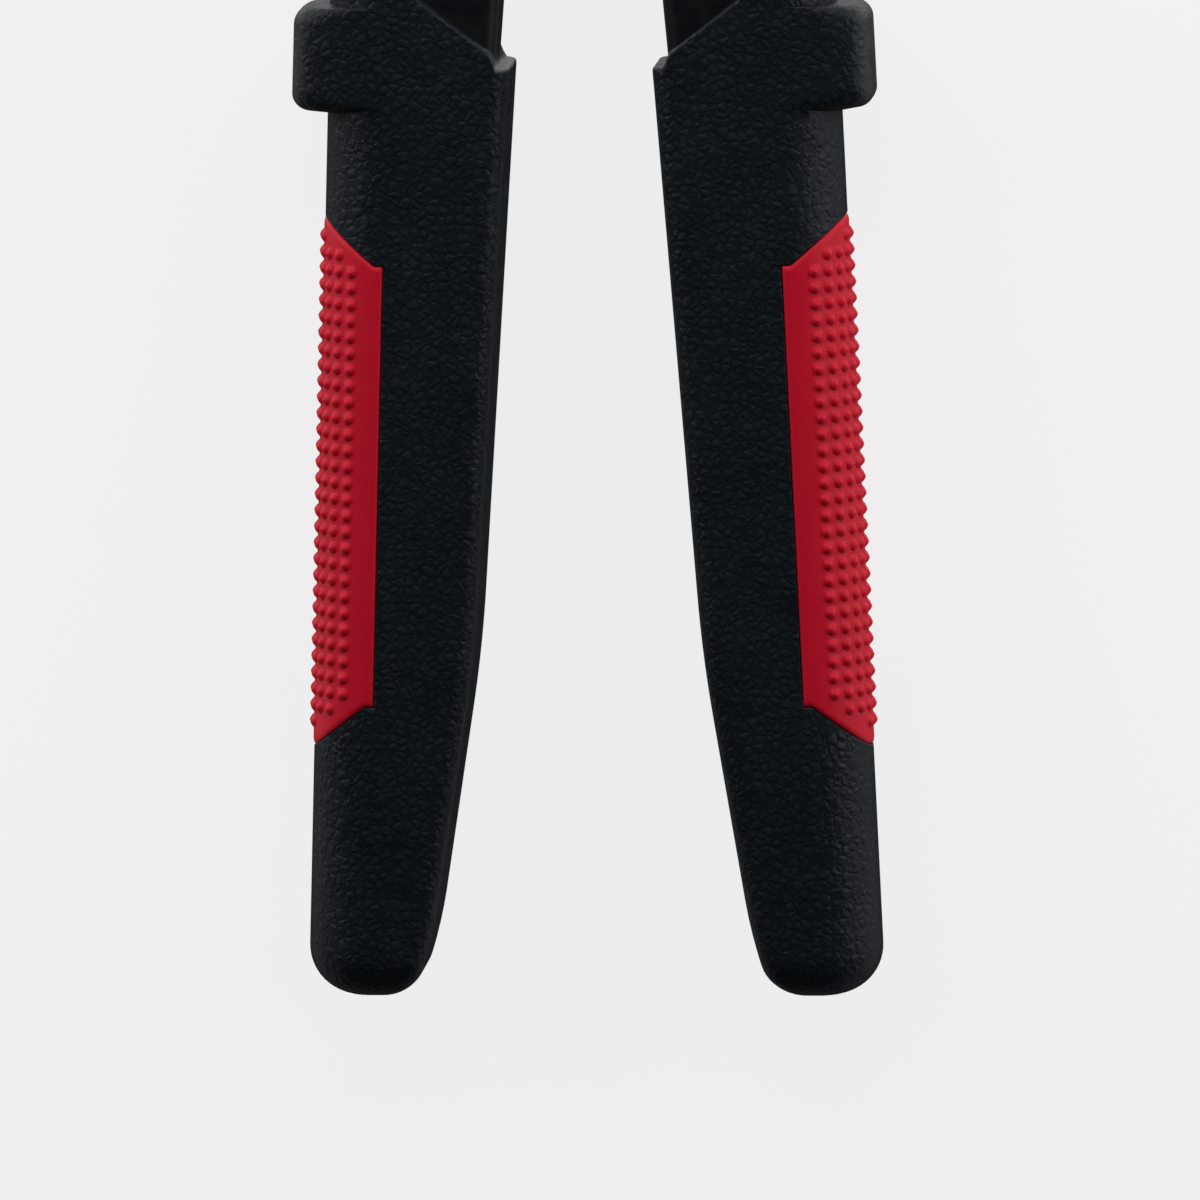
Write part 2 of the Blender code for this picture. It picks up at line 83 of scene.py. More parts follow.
TANG_THICKNESS = 9 * MM
TANG_END_WIDTH = 9 * MM
TANG_SHORTFALL = 16 * MM
GRIP_THICKNESS = 18 * MM
GRIP_MOUTH = 140.8 * MM
GRIP_MOUTH_STEP = 1.9 * MM
GRIP_TOP = 162 * MM
GRIP_BEND = 52 * MM
GRIP_BEND_BLEND = 9 * MM
GRIP_INNER_END = 25.4 * MM
GRIP_INNER_BEND = 17.05 * MM
GRIP_INNER_MOUTH = 10.65 * MM
GRIP_OUTER_END = 43.55 * MM
GRIP_OUTER_TOP = 37.5 * MM
GRIP_SIDE_ROUND = 9.6 * MM
GRIP_EDGE_ROUND = 3 * MM
GRIP_END_ROUND = 7.6 * MM
GRIP_END_CROWN = 6 * MM
GRIP_INNER_WALL = 2.3 * MM
GRIP_TOP_ROUND = 5 * MM
GUARD_LOW = 133.6 * MM
GUARD_REACH = 5.1 * MM
GUARD_LOW_ROUND = 2.2 * MM
GUARD_SLANT = math.tan(math.radians(5))
GUARD_DIP = 1.5 * MM
GUARD_SQUARENESS = 0.45
INLAY_LOW = 44.7 * MM
INLAY_HIGH = 111.2 * MM
INLAY_TIP = 6.8 * MM
INLAY_DEPTH = 2.4 * MM
INLAY_PROUD = 0.15 * MM
INLAY_TIP_START = math.radians(8)
STUD_PITCH = 2.45 * MM
STUD_COLUMNS = 9
STUD_HEIGHT = 0.65 * MM
BOLT_RADIUS = 5.5 * MM
BOLT_HEAD_RADIUS = 9 * MM
BOLT_HEAD_HEIGHT = 4.4 * MM
BOLT_HEAD_CROWN = 1.6 * MM
SOCKET_FLATS = 6 * MM
SOCKET_DEPTH = 3 * MM
WASHER_RADIUS = 11 * MM
WASHER_THICKNESS = 1.2 * MM
NUT_FLATS = 16 * MM
NUT_HEIGHT = 4.4 * MM
NUT_CHAMFER = 0.8 * MM

# Finer forms of the looks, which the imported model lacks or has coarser
GUARD_HEIGHT = 16.3 * MM
GUARD_TOP_ROUND = 2.7 * MM
GUARD_BACK_SLANT = math.tan(math.radians(18))
GRIP_INNER_END_ROUND = 4.9 * MM
GRIP_END_EASE = 1.75 * MM
GRIP_END_EASE_START = 15 * MM
RIM_ROUND = 0.7 * MM
RIM_SHARE = 0.45
STEP_RUN = 0.6 * MM
HOLE_ROUND = 0.4 * MM
HOLE_SHARE = 0.3
POCKET_GAP = 0.06 * MM
LIP_WIDTH = 0.4 * MM
LIP_DROP = 0.14 * MM
INLAY_LIP = 0.9 * MM
INLAY_LIP_SHARES = (0, 0.15, 0.45)
INLAY_LIP_FALL = 0.6
STUD_BASE = 0.95 * MM
STUD_FULLNESS = 1.7
STUD_SOFTNESS = 0.9
BOSS_ROUND = 0.8 * MM
BOSS_FACE_ROUND = 0.25 * MM
WASHER_ROUND = 0.25 * MM
WASHER_BORE_ROUND = 0.15 * MM
SOCKET_LEAD = 0.5 * MM
SOCKET_LEAD_OUT = 1.2 * MM
SOCKET_LEAD_UP = 0.7 * MM
NUT_LEAD = 0.5 * MM

# Fineness of the meshes
CURVE_STEPS = 28
CORNER_STEPS = 8
ROUND_STEPS = 128
PROFILE_STEPS = 6
WASHER_STEPS = 4
HEXAGON_STEPS = 6
CROWN_STEPS = 16
CROWN_FLAT_STEPS = 2
FACE_COLUMNS = 12
FACE_COLUMNS_END = 0.97
SIDE_COLUMNS = 60
END_ROWS = 14
LOW_ROWS = 16
LIP_ROWS = 2
POCKET_ROWS = 44
MIDDLE_ROWS = 10
GUARD_STEPS = 8
TOP_ROWS = 8
RIM_STEPS = 6
HOLE_STEPS = 4
MOUTH_SHARES = (0.33, 0.67)
SOCKET_SHARES = (0.85, 0.6, 0.4, 0.2, 0.08, 0)
MOUTH_PASSES = 6
HOLE_PASSES = 4
STUD_CELL = 4
STUD_RINGS = 5
INLAY_BAND_STEPS = 6

CURVE_EASE = 0.42
FILLET_SHARE = 0.48
HOLE_STRETCH = 1.1
STRAIGHT_HEIGHT = 50 * MM
FAR = 0.5
MERGE = 1e-7
TINY = 1e-9

JAW_HALF = JAW_WIDTH / 2
JOINT_HALF = JOINT_THICKNESS / 2
GRIP_HALF = GRIP_THICKNESS / 2
BORE = BOLT_RADIUS + CLEARANCE
HEAD_SEAT = JOINT_HALF + 2 * CLEARANCE + WASHER_THICKNESS
GUARD_TOP = GUARD_LOW + GUARD_HEIGHT
POCKET_FOOT_ROW = END_ROWS + LOW_ROWS + LIP_ROWS
POCKET_HEAD_ROW = POCKET_FOOT_ROW + POCKET_ROWS
PIVOT = Vector((0, (HANDLE_REACH - JAW_REACH) / 2, JAW_HALF))
HALF_TURN = Matrix.Rotation(math.pi, 4, "Y")


def smooth_step(value):
    value = min(1, max(0, value))
    return value * value * (3 - 2 * value)


def mix(start, end, share):
    return start + (end - start) * share


def spread(start, end, steps):
    """Evenly spaced values from start up to but without end."""
    return [mix(start, end, step / steps) for step in range(steps)]


def on_circle(radius, angle):
    return Vector((radius * math.cos(angle), radius * math.sin(angle)))


def heading(angle):
    """A direction of the plan, by its lean from +Y towards +X."""
    return Vector((math.sin(angle), math.cos(angle)))


def curve(start, leaving, arriving, end):
    """Points along a smooth curve with set directions at its ends, without its end."""
    reach = (end - start).length * CURVE_EASE
    handles = (start + leaving * reach, end - arriving * reach)
    return [Vector(point) for point in interpolate_bezier(start, *handles, end, CURVE_STEPS + 1)][:-1]


def mesh_from(shape, name):
    bmesh.ops.remove_doubles(shape, verts=shape.verts, dist=MERGE)
    bmesh.ops.recalc_face_normals(shape, faces=shape.faces)
    mesh = bpy.data.meshes.new(name)
    shape.to_mesh(mesh)
    shape.free()
    return mesh


def skin(rings, name, closed=False):
    """A mesh over matching rings of points, capped at both ends unless the last ring meets the first."""
    shape = bmesh.new()
    rows = [[shape.verts.new(point) for point in ring] for ring in rings]
    pairs = list(zip(rows, rows[1:]))
    if closed:
        pairs.append((rows[-1], rows[0]))
    else:
        shape.faces.new(rows[0])
        shape.faces.new(rows[-1])
    for low, high in pairs:
        for i, corner in enumerate(low):
            j = (i + 1) % len(low)
            shape.faces.new((corner, low[j], high[j], high[i]))
    return mesh_from(shape, name)


def turned(profile, name, steps=ROUND_STEPS, closed=False):
    """A mesh turned about the Z axis from (radius, height) pairs."""
    turns = spread(0, 2 * math.pi, steps)
    rings = [[Vector((*on_circle(radius, turn), height)) for turn in turns] for radius, height in profile]
    return skin(rings, name, closed)


def combine(mesh, other, operation):
    """The Boolean of two meshes as a new mesh."""
    base, tool = bpy.data.objects.new("base", mesh), bpy.data.objects.new("tool", other)
    for obj in (base, tool):
        bpy.context.scene.collection.objects.link(obj)
    modifier = base.modifiers.new("combine", "BOOLEAN")
    modifier.operation = operation
    modifier.object = tool
    shape = bmesh.new()
    shape.from_object(base, bpy.context.evaluated_depsgraph_get())
    for obj in (base, tool):
        bpy.data.objects.remove(obj)
    return mesh_from(shape, mesh.name)


def soft_corner(start, corner, end, steps):
    """Points along a curve that leaves start towards a corner and arrives at end from it."""
    shares = [step / steps for step in range(steps + 1)]
    return [start.lerp(corner, share).lerp(corner.lerp(end, share), share) for share in shares]


def rounded_profile(corners, roundings, steps=PROFILE_STEPS):
    """A (radius, height) outline with its corners rounded, each by its own size."""
    points = [Vector(corner) for corner in corners]
    outline = []
    for i, corner in enumerate(points):
        if roundings[i]:
            before = corner + (points[i - 1] - corner).normalized() * roundings[i]
            after = corner + (points[(i + 1) % len(points)] - corner).normalized() * roundings[i]
            outline += soft_corner(before, corner, after, steps)
        else:
            outline.append(corner)
    return outline


# Steel arm


def bar_section(inner, outer, half_height, rounding):
    """A rounded rectangle across the bar between two points of its plan."""
    along = (outer - inner).normalized()
    width = (outer - inner).length
    rounding = min(rounding, FILLET_SHARE * width, 2 * FILLET_SHARE * half_height)
    centres = ((width - rounding, half_height - rounding), (rounding, half_height - rounding))
    centres += tuple((across, -up) for across, up in reversed(centres))
    ring = []
    for quarter, (across, up) in enumerate(centres):
        for step in range(CORNER_STEPS + 1):
            angle = (quarter + step / CORNER_STEPS) * math.pi / 2
            point = inner + along * (across + rounding * math.cos(angle))
            ring.append(Vector((point.x, point.y, up + rounding * math.sin(angle))))
    return ring


def handle_point(out, height):
    """A point of the plan by its distance out from the tool's middle and its height above the grip's end."""
    return Vector((-out, height - HANDLE_REACH))


def tang_size(height):
    """Inner side, outer side and half thickness of the tang at one height."""
    share = (height - TANG_SHORTFALL) / (GRIP_MOUTH - TANG_SHORTFALL)
    inner = grip_inner(height) + GRIP_INNER_WALL
    outer = inner + mix(TANG_END_WIDTH, REIN_WIDTH, math.sqrt(max(0, share)))
    return inner, outer, mix(TANG_THICKNESS, REIN_THICKNESS, share) / 2


def tang_sections():
    sections = []
    for height in spread(TANG_SHORTFALL, GRIP_MOUTH, CURVE_STEPS) + [GRIP_MOUTH]:
        inner, outer, half = tang_size(height)
        ends = (handle_point(inner, height), handle_point(outer, height))
        sections.append(bar_section(*ends, half, REIN_ROUNDING))
    return sections


def rein_sides():
    """Inner and outer line of the rein, with its half thickness, from the grip's mouth up into the boss."""
    inner_foot = handle_point(grip_inner(GRIP_MOUTH) + GRIP_INNER_WALL, GRIP_MOUTH)
    outer_foot = inner_foot - Vector((REIN_WIDTH, 0))
    stop_foot = Vector((-CLOSED_GAP / 2, -BOSS_RADIUS - STOP_LENGTH))
    stop_head = Vector((-CLOSED_GAP / 2, -BOSS_RADIUS))
    boss_head = Vector((-CLOSED_GAP / 2, -BOSS_RADIUS / 2))
    outer_head = on_circle(BOSS_RADIUS, REIN_ROOT_ANGLE)
    leaving = heading(REIN_MOUTH_LEAN)
    inner = curve(inner_foot, leaving, heading(STOP_LEAN), stop_foot)
    outer_neck = outer_head - heading(REIN_ROOT_LEAN) * STOP_LENGTH
    outer = curve(outer_foot, leaving, heading(REIN_ROOT_LEAN), outer_neck)
    inner += [stop_foot, stop_head, boss_head]
    outer += [outer_neck, outer_head, outer_head / 2]
    sides = []
    for i, (inside, outside) in enumerate(zip(inner, outer)):
        half = mix(REIN_THICKNESS / 2, JOINT_HALF - BOSS_STEP, smooth_step(i / CURVE_STEPS))
        sides.append((inside, outside, half))
    return sides


def rein_sections():
    return [bar_section(inside, outside, half, REIN_ROUNDING) for inside, outside, half in rein_sides()[1:]]


def jaw_sections():
    """Sections of the jaw, from inside the boss round to the cutting edge."""
    edge = Vector((CLOSED_GAP / 2, JAW_REACH))
    land = edge - Vector((0, EDGE_LAND))
    outer_root = on_circle(BOSS_RADIUS, JAW_ROOT_ANGLE)
    inner_root = on_circle(BOSS_RADIUS, THROAT_ROOT_ANGLE)
    outer_side = Vector((HEAD_WIDTH / 2, HEAD_WIDEST))
    inner_side = Vector((THROAT_WIDTH / 2, THROAT_WIDEST))
    up = heading(0)
    outer = curve(outer_root, heading(JAW_ROOT_LEAN), up, outer_side)
    outer += curve(outer_side, up, heading(-math.pi / 2 + OUTER_BEVEL_ANGLE), edge)
    inner = curve(inner_root, heading(THROAT_ROOT_LEAN), up, inner_side)
    inner += curve(inner_side, up, heading(-math.pi / 2 + INNER_BEVEL_ANGLE), land)
    sections = [bar_section(inner_root / 2, outer_root / 2, JOINT_HALF - BOSS_STEP, JAW_ROUNDING)]
    for i, (inside, outside) in enumerate(zip(inner + [land], outer + [edge])):
        along = i / (2 * CURVE_STEPS)
        flare = smooth_step((along - JAW_FLARE_START) / (JAW_FLARE_END - JAW_FLARE_START))
        half = mix(JOINT_HALF - BOSS_STEP, JAW_HALF, flare)
        rounding = mix(JAW_ROUNDING, EDGE_ROUNDING, smooth_step(2 * along - 1))
        sections.append(bar_section(inside, outside, half, rounding))
    return sections


def arm_mesh():
    """One steel arm: tang, rein, lower half of the lap joint, and jaw."""
    face = -CLEARANCE / 2
    limbs = combine(skin(tang_sections() + rein_sections(), "arm"), skin(jaw_sections(), "jaw"), "UNION")
    seat_radius = BOSS_RADIUS + CLEARANCE
    limbs = combine(limbs, turned(((seat_radius, face), (seat_radius, FAR)), "seat"), "DIFFERENCE")
    boss = [(0, -JOINT_HALF), (BOSS_RADIUS, -JOINT_HALF), (BOSS_RADIUS, face), (0, face)]
    boss = rounded_profile(boss, (0, BOSS_ROUND, BOSS_FACE_ROUND, 0))
    arm = combine(limbs, turned(boss[1:-1], "boss"), "UNION")
    return combine(arm, turned(((BORE, -FAR), (BORE, FAR)), "bore"), "DIFFERENCE")


# Grip


def grip_inner(height):
    """Distance from the tool's middle to the grip's inner edge, with a soft bend above its end."""
    low_slope = (GRIP_INNER_BEND - GRIP_INNER_END) / GRIP_BEND
    high_slope = (GRIP_INNER_MOUTH - GRIP_INNER_BEND) / (GRIP_MOUTH - GRIP_BEND)
    past = height - GRIP_BEND
    if past <= -GRIP_BEND_BLEND:
        turn = 0
    elif past >= GRIP_BEND_BLEND:
        turn = past
    else:
        turn = (past + GRIP_BEND_BLEND) ** 2 / (4 * GRIP_BEND_BLEND)
    return GRIP_INNER_END + low_slope * height + (high_slope - low_slope) * turn


def draw_in(radius, height):
    """How far a rounded end of some radius draws in, at one height above it."""
    return radius - math.sqrt(radius**2 - max(0, radius - height) ** 2)


def inner_end_inset(height):
    """How far the inner edge draws in towards the grip's end: a long ease into a tighter corner."""
    ease = GRIP_END_EASE * max(0, 1 - height / GRIP_END_EASE_START) ** 2
    return ease + draw_in(GRIP_INNER_END_ROUND, height)


def grip_outer(height):
    return mix(GRIP_OUTER_END, GRIP_OUTER_TOP, height / GRIP_TOP)


def mouth_height(out):
    """Height of the grip's mouth: level over its inner wall, a short step, then rising to its rounded top."""
    foot = Vector((grip_inner(GRIP_MOUTH) + GRIP_INNER_WALL, GRIP_MOUTH + GRIP_MOUTH_STEP))
    top = Vector((grip_outer(GRIP_TOP) + CLEARANCE, GRIP_TOP))
    slope = (top - foot).normalized()
    half = slope.angle(Vector((0, 1))) / 2
    centre = top - Vector((GRIP_TOP_ROUND, GRIP_TOP_ROUND / math.tan(half)))
    touch = top.x - GRIP_TOP_ROUND / math.tan(half) * slope.x
    if out <= touch:
        ramp = smooth_step((out - foot.x) / STEP_RUN + 0.5)
        return GRIP_MOUTH + ramp * (GRIP_MOUTH_STEP + max(0, out - foot.x) * slope.y / slope.x)
    return centre.y + math.sqrt(max(0, GRIP_TOP_ROUND**2 - (out - centre.x) ** 2))


def inlay_limits(angle):
    """Heights between which the inlay runs at one place round the grip's side: it comes to a blunt tip."""
    from_face = min(angle, math.pi - angle)
    share = max(0, from_face - INLAY_TIP_START) / (math.pi / 2 - INLAY_TIP_START)
    tip = INLAY_TIP * math.sin(share * math.pi / 2)
    return INLAY_LOW - tip, INLAY_HIGH + tip


class Column:
    """One line along the grip, at a fixed place round its section."""

    def __init__(self, kind, place):
        self.kind, self.place = kind, place

    @property
    def angle(self):
        """The place round the outer side, at whose ends the flat faces start."""
        if self.kind == "side":
            return self.place
        return math.pi if self.kind in ("back", "back_lip") else 0

    def across(self, height, guard=0.0, sink=0.0):
        """Distance out, Z and lift of the line at one height, sunk below the surface by sink."""
        inner = grip_inner(height) + inner_end_inset(height)
        outer = grip_outer(height) - draw_in(GRIP_END_ROUND, height)
        half = GRIP_HALF - draw_in(GRIP_END_CROWN, height)
        shrink = (outer - inner) / (grip_outer(height) - grip_inner(height))
        side = GRIP_SIDE_ROUND * shrink
        edge = min(GRIP_EDGE_ROUND * shrink, 2 * FILLET_SHARE * half)
        if self.kind == "side":
            sine, cosine = max(0, math.sin(self.place)), math.cos(self.place)
            normal = Vector((sine * half, cosine * side)).normalized()
            lift = guard * ((side + GUARD_REACH) * sine**GUARD_SQUARENESS - side * sine)
            level = half * math.copysign(mix(abs(cosine), abs(cosine) ** GUARD_SQUARENESS, guard), cosine)
            return outer - side * (1 - sine) + lift - normal.x * sink, level - normal.y * sink, lift
        if self.kind in ("front", "back"):
            out = mix(inner + edge, outer - side, self.place)
        elif self.kind in ("front_lip", "back_lip"):
            out = outer - side - self.place * shrink
        else:
            turn = self.place
            level = -1 if self.kind == "inner_back" else 1
            return inner + edge + edge * math.cos(turn), level * (half - edge) + edge * math.sin(turn), 0.0
        face = 1 if self.kind in ("front", "front_lip") else -1
        return out, face * (half - sink), 0.0

    def point(self, height, guard=0.0, slant=0.0, sink=0.0):
        out, z, lift = self.across(height, guard, sink)
        plan = handle_point(out, height + slant * lift)
        return Vector((plan.x, plan.y, z))

    def mouth(self):
        """Height at which the line meets the grip's mouth."""
        height = GRIP_TOP
        for _ in range(MOUTH_PASSES):
            height = mouth_height(self.across(height)[0])
        return height


def grip_columns():
    """The lines round the grip, and the first and last of those over the inlay's pocket."""
    faces = spread(0, FACE_COLUMNS_END, FACE_COLUMNS)
    lips = (POCKET_GAP + LIP_WIDTH, POCKET_GAP + LIP_WIDTH / 3, POCKET_GAP)
    front = [Column("front", share) for share in faces]
    front += [Column("front_lip", lip) for lip in lips]
    sides = [Column("side", math.pi * step / SIDE_COLUMNS) for step in range(SIDE_COLUMNS + 1)]
    back = [Column("back_lip", lip) for lip in reversed(lips)]
    back += [Column("back", share) for share in reversed(faces)]
    turns = [-math.pi / 2 - math.pi / 2 * step / CORNER_STEPS for step in range(1, CORNER_STEPS + 1)]
    inner = [Column("inner_back", turn) for turn in turns]
    inner += [Column("inner_front", -turn) for turn in reversed(turns)]
    return front + sides + back + inner, len(front) - 1, len(front) + len(sides)


def pocket_limits(column):
    """Heights between which the inlay's pocket runs along one line."""
    low, high = inlay_limits(column.angle)
    return low - POCKET_GAP, high + POCKET_GAP


def hole_point(column, height, steel):
    """Where the way from the socket's middle to this line's place meets the socket's rounded outline.

    The socket stands a clearance off the steel, given by its inner side, outer side and half thickness.
    """
    inner, outer, half = steel[0] - CLEARANCE, steel[1] + CLEARANCE, steel[2] + CLEARANCE
    rounding = REIN_ROUNDING
    middle = (inner + outer) / 2
    width = (outer - inner) / 2
    out, z, _ = column.across(min(height, GRIP_MOUTH))
    way = Vector((out - middle, z * HOLE_STRETCH))
    reach = min(width / max(abs(way.x), TINY), half / max(abs(way.y), TINY))
    hit = way * reach
    centre = Vector((math.copysign(width - rounding, way.x), math.copysign(half - rounding, way.y)))
    if abs(hit.x) > abs(centre.x) and abs(hit.y) > abs(centre.y):
        unit = way.normalized()
        along = unit.dot(centre)
        hit = unit * (along + math.sqrt(max(0, along**2 - centre.length_squared + rounding**2)))
    return middle + hit.x, hit.y


def rein_at(height):
    """Inner side, outer side and half thickness of the steel at one height near the grip's mouth."""
    if height <= GRIP_MOUTH:
        return tang_size(height)
    lines = rein_sides()
    for low, high in zip(lines, lines[1:]):
        if height <= high[0].y + HANDLE_REACH:
            share = (height - low[0].y - HANDLE_REACH) / (high[0].y - low[0].y)
            inner, outer = (-mix(low[k].x, high[k].x, share) for k in (0, 1))
            return inner, outer, mix(low[2], high[2], share)
    raise ValueError("the mouth lies above the rein")


def mouth_points(column, top):
    """Points of one line from the outer skin over the rounded rim, across the mouth and down the socket."""
    mouth_out, mouth_z, _ = column.across(top)
    level = top
    for _ in range(HOLE_PASSES):
        hole_out, hole_z = hole_point(column, top, rein_at(level))
        level = mouth_height(hole_out)
    span = Vector((hole_out - mouth_out, hole_z - mouth_z))

    def on_mouth(share):
        out = mouth_out + span.x * share
        return Vector((*handle_point(out, mouth_height(out)), mouth_z + span.y * share))

    rim = min(RIM_ROUND, RIM_SHARE * span.length) / span.length
    hole = min(HOLE_ROUND, HOLE_SHARE * span.length) / span.length
    line = soft_corner(column.point(top - RIM_ROUND), on_mouth(0), on_mouth(rim), RIM_STEPS)
    line += [on_mouth(mix(rim, 1 - hole, share)) for share in MOUTH_SHARES]
    corner = on_mouth(1)
    line += soft_corner(on_mouth(1 - hole), corner, corner - Vector((0, HOLE_ROUND, 0)), HOLE_STEPS)
    for share in SOCKET_SHARES:
        height = mix(TANG_SHORTFALL - CLEARANCE, GRIP_MOUTH, share)
        out, z = hole_point(column, height, tang_size(max(height, TANG_SHORTFALL)))
        line.append(Vector((*handle_point(out, height), z)))
    return line


def guard_rows(column, high):
    """Height, share of the guard's reach and slant of each row from the pocket up to the guard's top."""
    low = GUARD_LOW + GUARD_DIP * (1 - math.sin(column.angle))
    slant = mix(GUARD_SLANT, GUARD_BACK_SLANT, smooth_step(column.angle / math.pi))
    quarter = [step / GUARD_STEPS * math.pi / 2 for step in range(GUARD_STEPS + 1)]
    rows = [(high + LIP_WIDTH / 3, 0, 0)]
    rows += [(height, 0, 0) for height in spread(high + LIP_WIDTH, low, MIDDLE_ROWS) + [low]]
    for angle in quarter:
        share = 1 - GUARD_LOW_ROUND / GUARD_REACH * (1 - math.sin(angle))
        rows.append((low + GUARD_LOW_ROUND * (1 - math.cos(angle)), share, slant))
    for angle in quarter:
        share = 1 - GUARD_TOP_ROUND / GUARD_REACH * (1 - math.cos(angle))
        rows.append((GUARD_TOP - GUARD_TOP_ROUND * (1 - math.sin(angle)), share, 0))
    return rows


def grip_line(column):
    """The points of one line: the grip's end, the pocket, the guard, the mouth and the socket."""
    low, high = pocket_limits(column)
    heights = [GRIP_END_ROUND * (1 - math.cos(step / END_ROWS * math.pi / 2)) for step in range(END_ROWS)]
    heights += spread(GRIP_END_ROUND, low - LIP_WIDTH, LOW_ROWS)
    heights += [low - LIP_WIDTH, low - LIP_WIDTH / 3]
    heights += spread(low, high, POCKET_ROWS) + [high]
    top = column.mouth()
    side_top = top if column.kind == "side" else Column("side", 0).mouth()
    rows = guard_rows(column, high)
    rows += [(height, 0, 0) for height in spread(GUARD_TOP, side_top - RIM_ROUND, TOP_ROWS)]
    if column.kind != "side":
        squeeze = (top - RIM_ROUND - high) / (side_top - RIM_ROUND - high)
        rows = [(high + (height - high) * squeeze, share, slant) for height, share, slant in rows]
    line = [column.point(height) for height in heights]
    line += [column.point(*row) for row in rows]
    return line + mouth_points(column, top)


def grip_mesh():
    """The black moulding, hollow for the tang and recessed for the inlay."""
    columns, first, last = grip_columns()
    shape = bmesh.new()
    grid = [[shape.verts.new(point) for point in grip_line(column)] for column in columns]
    for i, line in enumerate(grid):
        after = grid[(i + 1) % len(grid)]
        for k in range(len(line) - 1):
            over_pocket = first <= i < last and POCKET_FOOT_ROW <= k < POCKET_HEAD_ROW
            if not over_pocket:
                shape.faces.new((line[k], after[k], after[k + 1], line[k + 1]))
    shape.faces.new([line[0] for line in grid])
    shape.faces.new([line[-1] for line in grid])

    rims = [line[POCKET_FOOT_ROW : POCKET_HEAD_ROW + 1] for line in grid[first : last + 1]]
    floor = []
    for column in columns[first : last + 1]:
        low, high = pocket_limits(column)
        heights = [mix(low, high, row / POCKET_ROWS) for row in range(POCKET_ROWS + 1)]
        points = [column.point(height, sink=INLAY_DEPTH + CLEARANCE) for height in heights]
        floor.append([shape.verts.new(point) for point in points])
    for i in range(len(floor) - 1):
        for k in range(POCKET_ROWS):
            shape.faces.new((floor[i][k], floor[i + 1][k], floor[i + 1][k + 1], floor[i][k + 1]))
        for k in (0, -1):
            shape.faces.new((floor[i][k], floor[i + 1][k], rims[i + 1][k], rims[i][k]))
    for i in (0, -1):
        for k in range(POCKET_ROWS):
            shape.faces.new((floor[i][k], floor[i][k + 1], rims[i][k + 1], rims[i][k]))

    for i, rim in enumerate(rims):
        column = columns[first + i]
        drop = column.point(STRAIGHT_HEIGHT, sink=LIP_DROP) - column.point(STRAIGHT_HEIGHT)
        at_side = i in (0, len(rims) - 1)
        for vertex in rim if at_side else (rim[0], rim[-1]):
            vertex.co += drop
    return mesh_from(shape, "grip")


# Inlay


def side_point(height, angle, lift=0.0):
    """A point of the grip's rounded outer side, lift above its surface."""
    normal = Vector((math.sin(angle) * GRIP_HALF, math.cos(angle) * GRIP_SIDE_ROUND)).normalized()
    out = grip_outer(height) - GRIP_SIDE_ROUND * (1 - math.sin(angle)) + normal.x * lift
    plan = handle_point(out, height)
    return Vector((plan.x, plan.y, GRIP_HALF * math.cos(angle) + normal.y * lift))


def inlay_lift(distance):
    """Height of the inlay's face over the grip's side, at one distance from the inlay's edge."""
    share = min(1, max(0, distance / INLAY_LIP))
    return INLAY_PROUD - INLAY_LIP * INLAY_LIP_FALL * (1 - math.sqrt(1 - (1 - share) ** 2))


